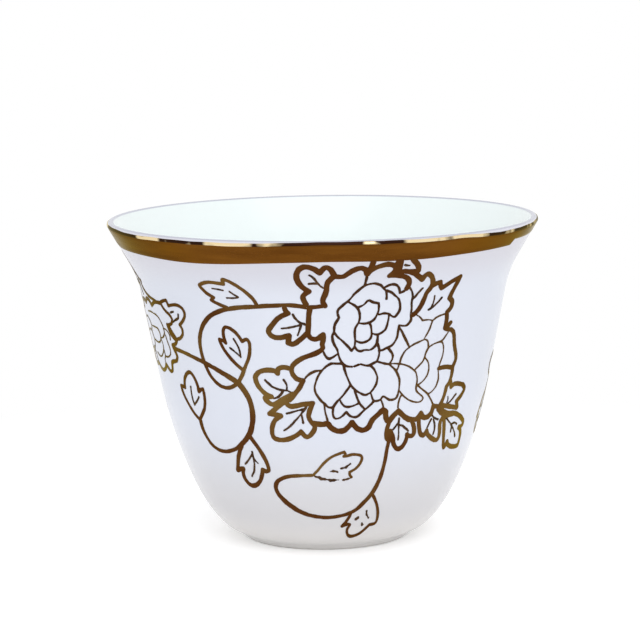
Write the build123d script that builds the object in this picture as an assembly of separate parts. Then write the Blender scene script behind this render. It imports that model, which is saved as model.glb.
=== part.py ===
from build123d import *
import os
from math import cos, radians, sin

# A small handleless coffee cup of glazed porcelain. Its wall swells from a foot ring, rises with a slight lean
# and flares into a collar that thins to the lip. A band of fired gilding lies round the collar, up to the lip.
# Lengths are in millimetres and angles in degrees. The cup's axis is Z and the table is at Z = 0.

# Overall size, gilding included
RIM_DIAMETER = 66.0
HEIGHT = 49.4

# Side wall, from the lip down
WALL = 1.8             # thickness with the glaze on both faces
LIP = 1.1              # thickness that the collar thins to at the lip, glaze included
COLLAR = 6.0           # straight run of the flare below the lip, on the outside
FLARE_LEAN = 30.0      # lean of the collar's outer face from the vertical
FLARE_RADIUS = 16.0    # hollow curve from the collar into the wall, on the outside
LIP_LEAN = 36.0        # lean of the inner face where it runs into the lip
MOUTH_PULL = 0.9       # how far the inner face follows the wall and the lip before it turns
WALL_LEAN = 11.0       # lean of the straight stretch from the vertical
WALL_STRAIGHT = 14.0   # length of the straight stretch
BELLY_PULL = 0.97      # how far the belly follows the straight stretch before it turns in
HEEL_PULL = 0.7        # how far the belly follows the heel before it turns up
HEEL_RISE = 17.0       # slope of the belly above the horizontal where it leaves the foot

# Foot and floor
FOOT_DIAMETER = 27.0
FOOT_HEIGHT = 0.8      # height of the bare foot ring below the glaze
FOOT_RING = 2.4        # width of the ring
FOOT_BEVEL = 0.3       # bevel on both edges of the ring's standing face
FOOT_RECESS = 1.4      # depth of the hollow inside the ring
FLOOR = 3.0            # thickness of the floor with the glaze on both faces
FLOOR_DIAMETER = 16.0  # flat middle of the floor
FLOOR_PULL = 0.9       # how far the inner curve follows the floor and the wall before it turns

# Coats fired onto the porcelain
GLAZE = 0.2
GILT = 0.1
BAND_WIDTH = 2.7       # width of the gilding on the straight of the collar
BAND_RISE = 30.0       # how far it goes on round the lip above the widest place, short of the crest
LIP_FACETS = 3         # trimmed flats on the porcelain's own lip, under the glaze


def across(lean):
    """Unit vector square to a wall of this lean, pointing out of the cup."""
    return Vector(cos(radians(lean)), -sin(radians(lean)))


def along(lean):
    """Unit vector up a wall of this lean."""
    return Vector(sin(radians(lean)), cos(radians(lean)))


# Places on the half section, as radius and height
FOOT_RADIUS = FOOT_DIAMETER / 2
RING_INNER = FOOT_RADIUS - FOOT_RING
LIP_RADIUS = LIP / 2
LIP_CENTRE = Vector(RIM_DIAMETER / 2 - GILT - LIP_RADIUS, HEIGHT - LIP_RADIUS)
FLARE_CENTRE = LIP_CENTRE + across(FLARE_LEAN) * (LIP_RADIUS + FLARE_RADIUS) - along(FLARE_LEAN) * COLLAR
LIP_TURN = 180 + FLARE_LEAN - LIP_LEAN
FLOOR_TOP = FOOT_RECESS + FLOOR


def straight(inset):
    """Straight stretch of the wall, at a depth below the finished outer face."""
    top = FLARE_CENTRE - across(WALL_LEAN) * (FLARE_RADIUS + inset)
    return Line(top - along(WALL_LEAN) * WALL_STRAIGHT, top)


def lip_round(height, turn):
    """Arc round the lip's centre, from the outer face inwards, at a height above the finished face."""
    return CenterArc(LIP_CENTRE, LIP_RADIUS + height, -FLARE_LEAN, turn)


def sweep_between(start, start_way, end, end_way, start_pull, end_pull):
    """Curve that leaves one stretch of the section and runs into the next without a kink."""
    chord = (end - start).length
    first = start + start_way * (chord * start_pull / 3)
    second = end - end_way * (chord * end_pull / 3)
    return Bezier(start, first, second, end)


def outside(depth):
    """Outer face from the foot to the lip, at a depth below the finished face."""
    wall = straight(depth)
    heel = Vector(FOOT_RADIUS, FOOT_HEIGHT + depth / cos(radians(HEEL_RISE)))
    belly = sweep_between(heel, along(90 - HEEL_RISE), wall @ 0, along(WALL_LEAN), HEEL_PULL, BELLY_PULL)
    flare = CenterArc(FLARE_CENTRE, FLARE_RADIUS + depth, 180 - WALL_LEAN, WALL_LEAN - FLARE_LEAN)
    collar = Line(flare @ 1, flare @ 1 + along(FLARE_LEAN) * COLLAR)
    return [belly, wall, flare, collar]


def inside(depth):
    """Inner face from the axis to the lip, at a depth below the finished face."""
    wall = straight(WALL - depth)
    middle = Vector(0, FLOOR_TOP - depth)
    edge = Vector(FLOOR_DIAMETER / 2, FLOOR_TOP - depth)
    bowl = sweep_between(edge, Vector(1, 0), wall @ 0, along(WALL_LEAN), FLOOR_PULL, FLOOR_PULL)
    lip_edge = lip_round(-depth, LIP_TURN) @ 1
    mouth = sweep_between(wall @ 1, along(WALL_LEAN), lip_edge, along(LIP_LEAN), MOUTH_PULL, MOUTH_PULL)
    return [Line(middle, edge), bowl, wall, mouth]


def trimmed_lip():
    """Flats of the porcelain's own lip, whose corners lie one glaze coat below the finished lip."""
    arc = lip_round(-GLAZE, LIP_TURN)
    corners = [arc @ (step / LIP_FACETS) for step in range(LIP_FACETS + 1)]
    return [Line(a, b) for a, b in zip(corners, corners[1:])]


def turned(edges):
    """Solid made by turning a closed half section about the cup's axis."""
    return revolve(Plane.XZ * Face(Wire(edges)), axis=Axis.Z)


def porcelain_body():
    """The fired porcelain under the glaze, with its foot ring."""
    ceiling = FOOT_RECESS + GLAZE
    outer, inner = outside(GLAZE), inside(GLAZE)
    under = Polyline(
        (0, ceiling),
        (RING_INNER, ceiling),
        (RING_INNER, FOOT_BEVEL),
        (RING_INNER + FOOT_BEVEL, 0),
        (FOOT_RADIUS - FOOT_BEVEL, 0),
        (FOOT_RADIUS, FOOT_BEVEL),
        outer[0] @ 0,
    )
    axis = Line(inner[0] @ 0, (0, ceiling))
    return turned([axis, *under.edges(), *outer, *trimmed_lip(), *reversed(inner)])


def glaze_coat():
    """The glaze, one coat from the top of the foot ring over the lip to the middle of the floor."""
    outer, inner = outside(0), inside(0)
    outer_seat, inner_seat = outside(GLAZE), inside(GLAZE)
    foot_edge = Line(outer_seat[0] @ 0, outer[0] @ 0)
    axis = Line(inner[0] @ 0, inner_seat[0] @ 0)
    skin = [*outer, lip_round(0, LIP_TURN), *reversed(inner)]
    seat = [*inner_seat, *reversed(trimmed_lip()), *reversed(outer_seat)]
    return turned([*skin, axis, *seat, foot_edge])


def base_glaze():
    """The patch of glaze inside the foot ring, which the bare ring parts from the rest."""
    return turned(Polyline(
        (0, FOOT_RECESS),
        (RING_INNER, FOOT_RECESS),
        (RING_INNER, FOOT_RECESS + GLAZE),
        (0, FOOT_RECESS + GLAZE),
        close=True,
    ).edges())


def gilt_rim_band():
    """The gilding on the collar's outer face and the outer side of the lip."""
    turn = FLARE_LEAN + BAND_RISE
    seat, face = lip_round(0, turn), lip_round(GILT, turn)
    drop = along(FLARE_LEAN) * BAND_WIDTH
    seat_foot, face_foot = seat @ 0 - drop, face @ 0 - drop
    low_edge, high_edge = Line(face_foot, seat_foot), Line(seat @ 1, face @ 1)
    return turned([low_edge, Line(seat_foot, seat @ 0), seat, high_edge, face, Line(face @ 0, face_foot)])


PIECES = {
    "porcelain_body": porcelain_body,
    "glaze_coat": glaze_coat,
    "base_glaze": base_glaze,
    "gilt_rim_band": gilt_rim_band,
}

os.makedirs("parts", exist_ok=True)
for name, make in PIECES.items():
    export_step(make(), f"parts/{name}.step")
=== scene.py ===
"""Dresses a small handleless coffee cup: glazed porcelain with a gilded rim and gilded flower sprays.

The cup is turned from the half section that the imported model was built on. The sprays are drawn on a flat
sheet, whose two directions are the way round the wall and the height, and are then laid on the glaze.
Lengths are in millimetres until a mesh is made, and angles are in degrees.
"""

import logging
import math
from dataclasses import dataclass
from enum import Enum

import bpy
import numpy as np
from mathutils import Matrix, Vector
from mathutils.geometry import delaunay_2d_cdt


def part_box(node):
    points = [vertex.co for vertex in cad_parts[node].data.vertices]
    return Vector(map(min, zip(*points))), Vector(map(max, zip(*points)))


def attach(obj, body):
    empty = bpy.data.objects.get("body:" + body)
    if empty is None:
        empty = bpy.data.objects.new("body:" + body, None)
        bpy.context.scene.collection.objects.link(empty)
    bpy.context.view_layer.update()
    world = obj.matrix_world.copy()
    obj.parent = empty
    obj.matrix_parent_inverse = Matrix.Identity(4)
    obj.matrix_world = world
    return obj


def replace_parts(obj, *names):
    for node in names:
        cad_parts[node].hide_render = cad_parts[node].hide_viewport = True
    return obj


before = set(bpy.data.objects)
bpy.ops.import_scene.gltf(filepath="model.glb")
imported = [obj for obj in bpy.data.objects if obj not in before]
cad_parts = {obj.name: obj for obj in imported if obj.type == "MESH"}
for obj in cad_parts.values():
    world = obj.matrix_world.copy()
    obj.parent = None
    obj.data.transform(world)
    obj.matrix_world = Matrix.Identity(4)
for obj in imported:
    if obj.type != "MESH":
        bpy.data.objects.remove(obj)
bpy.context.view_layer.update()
MM = 0.001         # a millimetre in metres
IMAGE_SIDE = 640   # pixels

# Points on a curve of the half section, on the lip's round, and on a curve that the wall is looked up on
CURVE_POINTS, LIP_POINTS, FINE_POINTS = 40, 24, 160

# A mix node has inputs of one name for each kind of value, so those for colours go by number
MIX_SHARE, MIX_FIRST, MIX_SECOND, MIX_RESULT = 0, 6, 7, 2

NO_HEIGHT = (1.0, 1.0, 0.0)   # a place times this has lost its height
TINY = 1e-12                  # keeps a division from meeting zero
SAME_PLACE = 1e-7             # points that lie closer than this are one
EVERY_TRIANGLE = 0            # output type of the triangulation that leaves none out

Point = tuple[float, float]
Run = tuple[Point, ...]                          # places that a smooth line goes through
Side = tuple[tuple[int, int], tuple[int, int]]   # two neighbouring values of a field, each by row and column
Faces = list[tuple[int, ...]]                    # the point numbers of each face

log = logging.getLogger("coffee_cup")


def linear(hex_code: str) -> tuple[float, float, float, float]:
    """Turns an sRGB hex colour to linear light.

    Args:
        hex_code: The colour as "#RRGGBB".

    Returns:
        Linear red, green and blue, and an alpha of 1.
    """
    channels = [int(hex_code[place:place + 2], 16) / 255 for place in (1, 3, 5)]
    red, green, blue = [c / 12.92 if c <= 0.04045 else ((c + 0.055) / 1.055) ** 2.4 for c in channels]
    return red, green, blue, 1.0


def per_metre(size: float) -> float:
    """A texture's scale, in patterns to the metre, for a pattern of this size in millimetres."""
    return 1 / (size * MM)


def add_node(tree: bpy.types.NodeTree, kind: str, values: dict[str | int, object] | None = None,
             links: dict[str | int, bpy.types.NodeSocket] | None = None,
             **settings: object) -> bpy.types.Node:
    """Adds a node with its settings and links.

    Args:
        tree: The node tree to add to.
        kind: Blender's name for the kind of node.
        values: Constant values by input socket.
        links: Output sockets to link from, by input socket.
        settings: The node's own properties.

    Returns:
        The new node.
    """
    node = tree.nodes.new(kind)
    for name, setting in settings.items():
        setattr(node, name, setting)
    for socket, value in (values or {}).items():
        node.inputs[socket].default_value = value
    for socket, source in (links or {}).items():
        tree.links.new(source, node.inputs[socket])
    return node


def new_material(name: str) -> tuple[bpy.types.Material, bpy.types.NodeTree]:
    """Makes a material with an empty node tree.

    Args:
        name: The material's name.

    Returns:
        The material and its tree.
    """
    material = bpy.data.materials.new(name)
    material.use_nodes = True
    material.node_tree.nodes.clear()
    return material, material.node_tree


def seen_directly(tree: bpy.types.NodeTree) -> bpy.types.NodeSocket:
    """Adds nodes that give 1 to what the camera, a mirror or a glass sees, and 0 to light that falls.

    Args:
        tree: The node tree to add to.

    Returns:
        The output socket.
    """
    rays = add_node(tree, "ShaderNodeLightPath").outputs
    mirrored = add_node(tree, "ShaderNodeMath", operation="MAXIMUM",
                        links={0: rays["Is Glossy Ray"], 1: rays["Is Transmission Ray"]})
    either = add_node(tree, "ShaderNodeMath", operation="MAXIMUM",
                      links={0: rays["Is Camera Ray"], 1: mirrored.outputs["Value"]})
    return either.outputs["Value"]


@dataclass(frozen=True)
class GlossGlaze:
    """Clear glaze fired over white porcelain: hard, glassy and cool, and faintly wavy where it flowed."""

    crest: float                     # height of the lip, from which the painted shades of the crest and the collar are measured
    name: str = "porcelain_clear_glazed"
    thin: str = "#E6EAF5"            # where the glaze lies thin on the wall
    thick: str = "#DFE4F1"           # where it lies thicker and cooler
    gathered_and_shaded: str = "#E0DFE2"        # darker on the belly: painted shade, and glaze that ran together there
    pooled_and_lightened: str = "#F3F0EE"          # lighter towards the foot: painted light against the floor's shade there, and a white roll where the glaze stopped
    poured_and_lightened: str = "#ECF3F3"          # inside, lighter and greener: painted light of the lit inside, and glaze thick enough to look green
    collar_shade: str = "#DAD9E3"           # painted shade under the collar, which faces down, tinted lilac
    crest_shade: str = "#B4B6C4"           # painted shade, a grey-lavender line along the lip's crest
    mottle: float = 14.0             # size of the thick and thin patches
    mottle_detail: float = 2.0       # how often they break up into finer ones
    flow: float = 5.0                # size of the waves left by the melt
    flow_detail: float = 1.0         # how often those break up
    flow_depth: float = 0.012
    gather_and_shade: Point = (22.0, 6.0)      # heights from where to where the belly darkens, with painted shade and gathered glaze
    pool_and_lighten: Point = (7.0, 1.0)         # heights from where to where the foot grows lighter, with painted light and the glaze's roll
    collar_shade_span: Point = (9.5, 3.0)         # from where to where below the lip's top the painted shade under the collar thickens
    crest_shade_span: Point = (0.28, 0.06)  # from where to where below the top the painted shade along the crest sets in
    turn_in: float = 2.0             # radius times outward look at which a face begins to count as inside
    roughness: float = 0.22
    ior: float = 1.5

    def make(self) -> bpy.types.Material:
        """Builds the node tree.

        Returns:
            The glaze's material.
        """
        material, tree = new_material(self.name)
        coordinates = add_node(tree, "ShaderNodeTexCoord").outputs
        place = coordinates["Object"]
        patches = add_node(tree, "ShaderNodeTexNoise",
                           {"Scale": per_metre(self.mottle), "Detail": self.mottle_detail}, {"Vector": place})
        height = add_node(tree, "ShaderNodeSeparateXYZ", links={"Vector": place}).outputs["Z"]
        from_crest = [(self.crest - start, self.crest - end) for start, end in (self.collar_shade_span, self.crest_shade_span)]
        gathering_and_shading, pooling_and_lightening, collar_shading, crest_shading = (
            add_node(tree, "ShaderNodeMapRange", {"From Min": start * MM, "From Max": end * MM},
                     {"Value": height}, interpolation_type="SMOOTHSTEP")
            for start, end in (self.gather_and_shade, self.pool_and_lighten, *from_crest)
        )
        from_axis = add_node(tree, "ShaderNodeVectorMath", {1: NO_HEIGHT}, {0: place}, operation="MULTIPLY")
        outwards = add_node(tree, "ShaderNodeVectorMath", operation="DOT_PRODUCT",
                            links={0: coordinates["Normal"], 1: from_axis.outputs["Vector"]})
        inside = add_node(tree, "ShaderNodeMapRange", {"From Min": self.turn_in * MM, "From Max": 0.0},
                          {"Value": outwards.outputs["Value"]})
        colour = add_node(tree, "ShaderNodeMix",
                          {MIX_FIRST: linear(self.thin), MIX_SECOND: linear(self.thick)},
                          {MIX_SHARE: patches.outputs["Fac"]}, data_type="RGBA")
        # Tints by height and facing: painted shade on the belly, under the collar and along the crest, and
        # painted light at the foot and inside
        for share, tint in ((gathering_and_shading, self.gathered_and_shaded), (pooling_and_lightening, self.pooled_and_lightened), (collar_shading, self.collar_shade),
                            (inside, self.poured_and_lightened), (crest_shading, self.crest_shade)):
            colour = add_node(tree, "ShaderNodeMix", {MIX_SECOND: linear(tint)},
                              {MIX_SHARE: share.outputs["Result"], MIX_FIRST: colour.outputs[MIX_RESULT]},
                              data_type="RGBA")
        waves = add_node(tree, "ShaderNodeTexNoise",
                         {"Scale": per_metre(self.flow), "Detail": self.flow_detail}, {"Vector": place})
        bump = add_node(tree, "ShaderNodeBump", {"Strength": 1.0, "Distance": self.flow_depth * MM},
                        {"Height": waves.outputs["Fac"]})
        shader = add_node(tree, "ShaderNodeBsdfPrincipled",
                          {"Roughness": self.roughness, "IOR": self.ior},
                          {"Base Color": colour.outputs[MIX_RESULT], "Normal": bump.outputs["Normal"]})
        add_node(tree, "ShaderNodeOutputMaterial", links={"Surface": shader.outputs["BSDF"]})
        return material


@dataclass(frozen=True)
class BarePorcelain:
    """Bare porcelain under the foot ring, ground flat: chalky, finely gritty and warmer than the glaze."""

    name: str = "porcelain_bare_ground"
    clean: str = "#F4F1EE"
    worn: str = "#E2DEDA"        # greyer where the ring has stood and rubbed
    rub: float = 3.0             # size of the rubbed patches
    rub_detail: float = 4.0      # how often they break up into finer ones
    grit: float = 0.35           # grinding grit, drawn coarser than the real 0.1 so that it shows
    grit_detail: float = 2.0     # how often it breaks up
    grit_depth: float = 0.02
    grit_strength: float = 0.6   # how much of that depth the light picks out
    roughness: float = 0.8

    def make(self) -> bpy.types.Material:
        """Builds the node tree.

        Returns:
            The bare porcelain's material.
        """
        material, tree = new_material(self.name)
        place = add_node(tree, "ShaderNodeTexCoord").outputs["Object"]
        rubbed = add_node(tree, "ShaderNodeTexNoise",
                          {"Scale": per_metre(self.rub), "Detail": self.rub_detail}, {"Vector": place})
        colour = add_node(tree, "ShaderNodeMix",
                          {MIX_FIRST: linear(self.clean), MIX_SECOND: linear(self.worn)},
                          {MIX_SHARE: rubbed.outputs["Fac"]}, data_type="RGBA")
        grain = add_node(tree, "ShaderNodeTexNoise",
                         {"Scale": per_metre(self.grit), "Detail": self.grit_detail}, {"Vector": place})
        bump = add_node(tree, "ShaderNodeBump",
                        {"Strength": self.grit_strength, "Distance": self.grit_depth * MM},
                        {"Height": grain.outputs["Fac"]})
        shader = add_node(tree, "ShaderNodeBsdfPrincipled", {"Roughness": self.roughness},
                          {"Base Color": colour.outputs[MIX_RESULT], "Normal": bump.outputs["Normal"]})
        add_node(tree, "ShaderNodeOutputMaterial", links={"Surface": shader.outputs["BSDF"]})
        return material


@dataclass(frozen=True)
class FiredGold:
    """Liquid gold brushed on and fired: a mirror film, brown where it is thin, streaked along the brush."""

    name: str
    # In the rim's band these browns also stand for the dark room that the mirror reflects: a painted
    # reflection
    full: str                      # where the film is full; in the bead, a painted glint
    lean: str                      # where the brush left it thinner; in the bead, a painted dark reflection
    streak: float = 2.0            # width of the brush's streaks
    streak_detail: float = 3.0     # how often they break up into finer ones
    draw: float = 8.0              # how many times longer than wide a streak is
    start: float = 0.0             # where in the endless noise the streaks begin, which sets how they fall
    filling: Point = (0.35, 0.65)  # from where to where the noise fills the film
    smooth: float = 0.16           # roughness of the full film
    dull: float = 0.34             # roughness of the thin film
    edge: str = "#D8D0A8"          # tint of the mirror at a low angle
    skin: float = 0.07             # weight of the flux's glassy skin over the gold

    def make(self) -> bpy.types.Material:
        """Builds the node tree.

        Returns:
            The gilding's material.
        """
        material, tree = new_material(self.name)
        place = add_node(tree, "ShaderNodeTexCoord").outputs["Object"]
        drawn = add_node(tree, "ShaderNodeMapping",
                         {"Scale": (1.0, 1.0, self.draw), "Location": (0.0, 0.0, self.start * MM)},
                         {"Vector": place})
        streaks = add_node(tree, "ShaderNodeTexNoise",
                           {"Scale": per_metre(self.streak * self.draw), "Detail": self.streak_detail},
                           {"Vector": drawn.outputs["Vector"]})
        film = add_node(tree, "ShaderNodeMapRange",
                        {"From Min": self.filling[0], "From Max": self.filling[1]},
                        {"Value": streaks.outputs["Fac"]})
        gold = add_node(tree, "ShaderNodeMix", {MIX_FIRST: linear(self.lean), MIX_SECOND: linear(self.full)},
                        {MIX_SHARE: film.outputs["Result"]}, data_type="RGBA")
        gloss = add_node(tree, "ShaderNodeMapRange", {"To Min": self.dull, "To Max": self.smooth},
                         {"Value": film.outputs["Result"]})
        shader = add_node(tree, "ShaderNodeBsdfPrincipled",
                          {"Metallic": 1.0, "Specular Tint": linear(self.edge), "Coat Weight": self.skin,
                           "Coat Roughness": self.smooth},
                          {"Base Color": gold.outputs[MIX_RESULT], "Roughness": gloss.outputs["Result"]})
        add_node(tree, "ShaderNodeOutputMaterial", links={"Surface": shader.outputs["BSDF"]})
        return material


@dataclass(frozen=True)
class StudioPaper:
    """Matte white paper. The camera and mirrors see it lifted to white, with the cup's shadow on it."""

    name: str = "paper_matte_white"
    colour: str = "#EEEEEE"
    lift: float = 0.36           # glow that lifts the lit paper to white
    fade_start: float = 36.0     # distance from the cup's axis at which the shadow begins to fade
    fade_end: float = 120.0      # distance at which nothing but white is left
    roughness: float = 0.9

    def make(self) -> bpy.types.Material:
        """Builds the node tree.

        Returns:
            The paper's material.
        """
        material, tree = new_material(self.name)
        seen = seen_directly(tree)
        place = add_node(tree, "ShaderNodeTexCoord").outputs["Object"]
        distance = add_node(tree, "ShaderNodeVectorMath", links={0: place}, operation="LENGTH")
        fade = add_node(tree, "ShaderNodeMapRange",
                        {"From Min": self.fade_start * MM, "From Max": self.fade_end * MM},
                        {"Value": distance.outputs["Value"]}, interpolation_type="SMOOTHSTEP")
        whitening = add_node(tree, "ShaderNodeMath", links={0: seen, 1: fade.outputs["Result"]},
                             operation="MULTIPLY")
        lifted = add_node(tree, "ShaderNodeMath", {1: self.lift}, {0: seen}, operation="MULTIPLY")
        paper = add_node(tree, "ShaderNodeBsdfPrincipled",
                         {"Base Color": linear(self.colour), "Roughness": self.roughness})
        glow = add_node(tree, "ShaderNodeEmission", links={"Strength": lifted.outputs["Value"]})
        near = add_node(tree, "ShaderNodeAddShader",
                        links={0: paper.outputs["BSDF"], 1: glow.outputs["Emission"]})
        white = add_node(tree, "ShaderNodeEmission", {"Strength": 1.0})
        sheet = add_node(tree, "ShaderNodeMixShader",
                         links={0: whitening.outputs["Value"], 1: near.outputs["Shader"],
                                2: white.outputs["Emission"]})
        add_node(tree, "ShaderNodeOutputMaterial", links={"Surface": sheet.outputs["Shader"]})
        return material


def across(lean: float) -> np.ndarray:
    """Unit vector square to a wall of this lean, pointing out of the cup, as radius and height."""
    return np.array([math.cos(math.radians(lean)), -math.sin(math.radians(lean))])


def along(lean: float) -> np.ndarray:
    """Unit vector up a wall of this lean, as radius and height."""
    return np.array([math.sin(math.radians(lean)), math.cos(math.radians(lean))])


def arc(centre: np.ndarray, radius: float, start: float, turn: float, count: int) -> np.ndarray:
    """Points along an arc.

    Args:
        centre: The arc's centre.
        radius: Its radius.
        start: The angle of the first point.
        turn: How far the arc goes round from there.
        count: The number of points.

    Returns:
        The points, one to a row.
    """
    angles = np.radians(np.linspace(start, start + turn, count))
    return centre + radius * np.stack([np.cos(angles), np.sin(angles)], axis=1)


def sweep_between(start: np.ndarray, start_lean: float, end: np.ndarray, end_lean: float, pulls: Point,
                  count: int) -> np.ndarray:
    """Cubic curve that leaves one stretch of the section and runs into the next without a kink.

    Args:
        start: The curve's first point.
        start_lean: Its lean there.
        end: Its last point.
        end_lean: Its lean there.
        pulls: How far it follows its two ends before it turns.
        count: The number of points.

    Returns:
        The points, one to a row, without the last one.
    """
    chord = float(np.linalg.norm(end - start))
    second = start + along(start_lean) * (chord * pulls[0] / 3)
    third = end - along(end_lean) * (chord * pulls[1] / 3)
    t = np.linspace(0, 1, count, endpoint=False)[:, None]
    return (start * (1 - t) ** 3 + 3 * second * t * (1 - t) ** 2
            + 3 * third * t ** 2 * (1 - t) + end * t ** 3)


def smooth_line(places: Run, steps: int = 8) -> np.ndarray:
    """A smooth line through a few places.

    Args:
        places: The places.
        steps: The number of points from each place to the next.

    Returns:
        The line's points.
    """
    knots = np.asarray(places, float)
    knots = np.vstack([2 * knots[0] - knots[1], knots, 2 * knots[-1] - knots[-2]])
    t = np.linspace(0, 1, steps, endpoint=False)[:, None]
    spans = []
    for before, start, end, after in zip(knots, knots[1:], knots[2:], knots[3:]):
        square = 2 * before - 5 * start + 4 * end - after
        cube = 3 * start - before - 3 * end + after
        spans.append(0.5 * (2 * start + (end - before) * t + square * t ** 2 + cube * t ** 3))
    return np.vstack([*spans, knots[-2]])


@dataclass(frozen=True)
class CupSection:
    """The cup's half section, as radius and height.

    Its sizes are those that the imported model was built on, with a soft glazed hollow over the foot ring.
    """

    rim_radius: float                 # the gilding included
    height: float
    wall: float = 1.8                 # thickness with the glaze on both faces
    lip: float = 1.1                  # thickness that the collar thins to at the lip, glaze included
    collar: float = 6.0               # straight run of the flare below the lip, on the outside
    flare_lean: float = 30.0          # lean of the collar's outer face from the vertical
    flare_radius: float = 16.0        # hollow curve from the collar into the wall, on the outside
    lip_lean: float = 36.0            # lean of the inner face where it runs into the lip
    mouth_pull: float = 0.9           # how far the inner face follows the wall and the lip before it turns
    wall_lean: float = 11.0           # lean of the straight stretch from the vertical
    wall_straight: float = 14.0       # length of the straight stretch
    belly_pull: float = 0.97          # how far the belly follows the straight stretch before it turns in
    heel_pull: float = 0.7            # how far the belly follows the heel before it turns up
    heel_rise: float = 17.0           # slope of the belly above the horizontal at the heel
    foot_radius: float = 13.5
    foot_height: float = 0.8          # height at which the belly would meet the ring
    foot_ring: float = 2.4            # width of the ring
    foot_bevel: float = 0.3           # bevel of the standing face, and height at which the glaze ends
    foot_draw: float = 0.5            # how far the ring's glazed side draws in at its lower edge
    foot_lean: float = 24.0           # lean of that side from the vertical
    stand_draw: float = 0.4           # how much further in the bare standing face ends
    hollow_reach: float = 2.2         # how far out from the ring the soft hollow above it goes
    hollow_pulls: Point = (0.7, 1.3)  # how far the hollow follows the ring and the belly before it turns
    foot_recess: float = 1.4          # depth of the recess inside the ring
    floor: float = 3.0                # thickness of the floor with the glaze on both faces
    floor_radius: float = 8.0         # flat middle of the floor
    floor_pull: float = 0.9           # how far the inner curve follows the floor and the wall before it turns
    glaze: float = 0.2                # thickness of the coat
    gilt: float = 0.1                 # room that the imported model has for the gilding
    # How many times more points a curve has than the hollow, the outer wall and the other straight stretches
    hollow_part: int = 2
    wall_part: int = 5
    straight_part: int = 7

    @property
    def lip_radius(self) -> float:
        """Radius of the round lip."""
        return self.lip / 2

    @property
    def lip_centre(self) -> np.ndarray:
        """Centre of the round lip."""
        return np.array([self.rim_radius - self.gilt - self.lip_radius, self.height - self.lip_radius])

    @property
    def lip_turn(self) -> float:
        """How far the lip turns from the outer face to the inner one."""
        return 180 + self.flare_lean - self.lip_lean

    @property
    def flare_centre(self) -> np.ndarray:
        """Centre of the flare's hollow curve."""
        outwards = across(self.flare_lean) * (self.lip_radius + self.flare_radius)
        return self.lip_centre + outwards - along(self.flare_lean) * self.collar

    @property
    def ring_inner(self) -> float:
        """Inner radius of the foot ring."""
        return self.foot_radius - self.foot_ring

    @property
    def floor_top(self) -> float:
        """Height of the inside floor."""
        return self.foot_recess + self.floor

    @property
    def stand_radius(self) -> float:
        """Outer radius of the bare standing face."""
        return self.foot_radius - self.foot_draw - self.stand_draw

    def straight(self, inset: float) -> np.ndarray:
        """The two ends of the wall's straight stretch, at a depth below the finished outer face."""
        top = self.flare_centre - across(self.wall_lean) * (self.flare_radius + inset)
        return np.array([top - along(self.wall_lean) * self.wall_straight, top])

    def outside(self, depth: float = 0.0, count: int = CURVE_POINTS) -> np.ndarray:
        """Outer face from the foot to the lip.

        Args:
            depth: Depth below the finished face.
            count: The number of points on each curve.

        Returns:
            The points.
        """
        low, high = self.straight(depth)
        heel = np.array([self.foot_radius, self.foot_height + depth / math.cos(math.radians(self.heel_rise))])
        belly = sweep_between(heel, 90 - self.heel_rise, low, self.wall_lean,
                              (self.heel_pull, self.belly_pull), count)
        belly = belly[belly[:, 0] > self.foot_radius + self.hollow_reach]
        belly_lean = math.degrees(math.atan2(*(belly[1] - belly[0])))
        ring_edge = np.array([self.foot_radius - self.foot_draw - depth, self.foot_bevel])
        hollow = sweep_between(ring_edge, self.foot_lean, belly[0], belly_lean, self.hollow_pulls,
                               count // self.hollow_part)
        wall = np.linspace(low, high, count // self.wall_part, endpoint=False)
        flare = arc(self.flare_centre, self.flare_radius + depth, 180 - self.wall_lean,
                    self.wall_lean - self.flare_lean, count)
        rim = flare[-1] + along(self.flare_lean) * self.collar
        collar = np.linspace(flare[-1], rim, count // self.straight_part)
        return np.vstack([hollow, belly, wall, flare[:-1], collar])

    def inside(self, depth: float = 0.0, count: int = CURVE_POINTS) -> np.ndarray:
        """Inner face from the axis to the lip.

        Args:
            depth: Depth below the finished face.
            count: The number of points on each curve.

        Returns:
            The points.
        """
        low, high = self.straight(self.wall - depth)
        level = self.floor_top - depth
        edge = np.array([self.floor_radius, level])
        floor = np.linspace((0.0, level), edge, count // self.straight_part, endpoint=False)
        bowl = sweep_between(edge, 90.0, low, self.wall_lean, (self.floor_pull, self.floor_pull), count)
        wall = np.linspace(low, high, count // self.straight_part, endpoint=False)
        lip_edge = self.lip_round(-depth)[-1]
        mouth = sweep_between(high, self.wall_lean, lip_edge, self.lip_lean,
                              (self.mouth_pull, self.mouth_pull), count)
        return np.vstack([floor, bowl, wall, mouth, lip_edge])

    def lip_round(self, proud: float) -> np.ndarray:
        """Round of the lip from the outer face to the inner one, at a height above the finished face."""
        return arc(self.lip_centre, self.lip_radius + proud, -self.flare_lean, self.lip_turn, LIP_POINTS)

    def wall_at(self, heights: np.ndarray) -> tuple[np.ndarray, np.ndarray]:
        """The outer face at given heights.

        Args:
            heights: Heights between the foot and the lip.

        Returns:
            The face's radii there, and its outward normals as radius and height.
        """
        line = self.outside(count=FINE_POINTS)
        run = np.gradient(line, axis=0)
        normals = np.stack([run[:, 1], -run[:, 0]], axis=1)
        normals /= np.linalg.norm(normals, axis=1)[:, None]
        radii = np.interp(heights, line[:, 1], line[:, 0])
        facing = [np.interp(heights, line[:, 1], normals[:, axis]) for axis in (0, 1)]
        return radii, np.stack(facing, axis=1)


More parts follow.
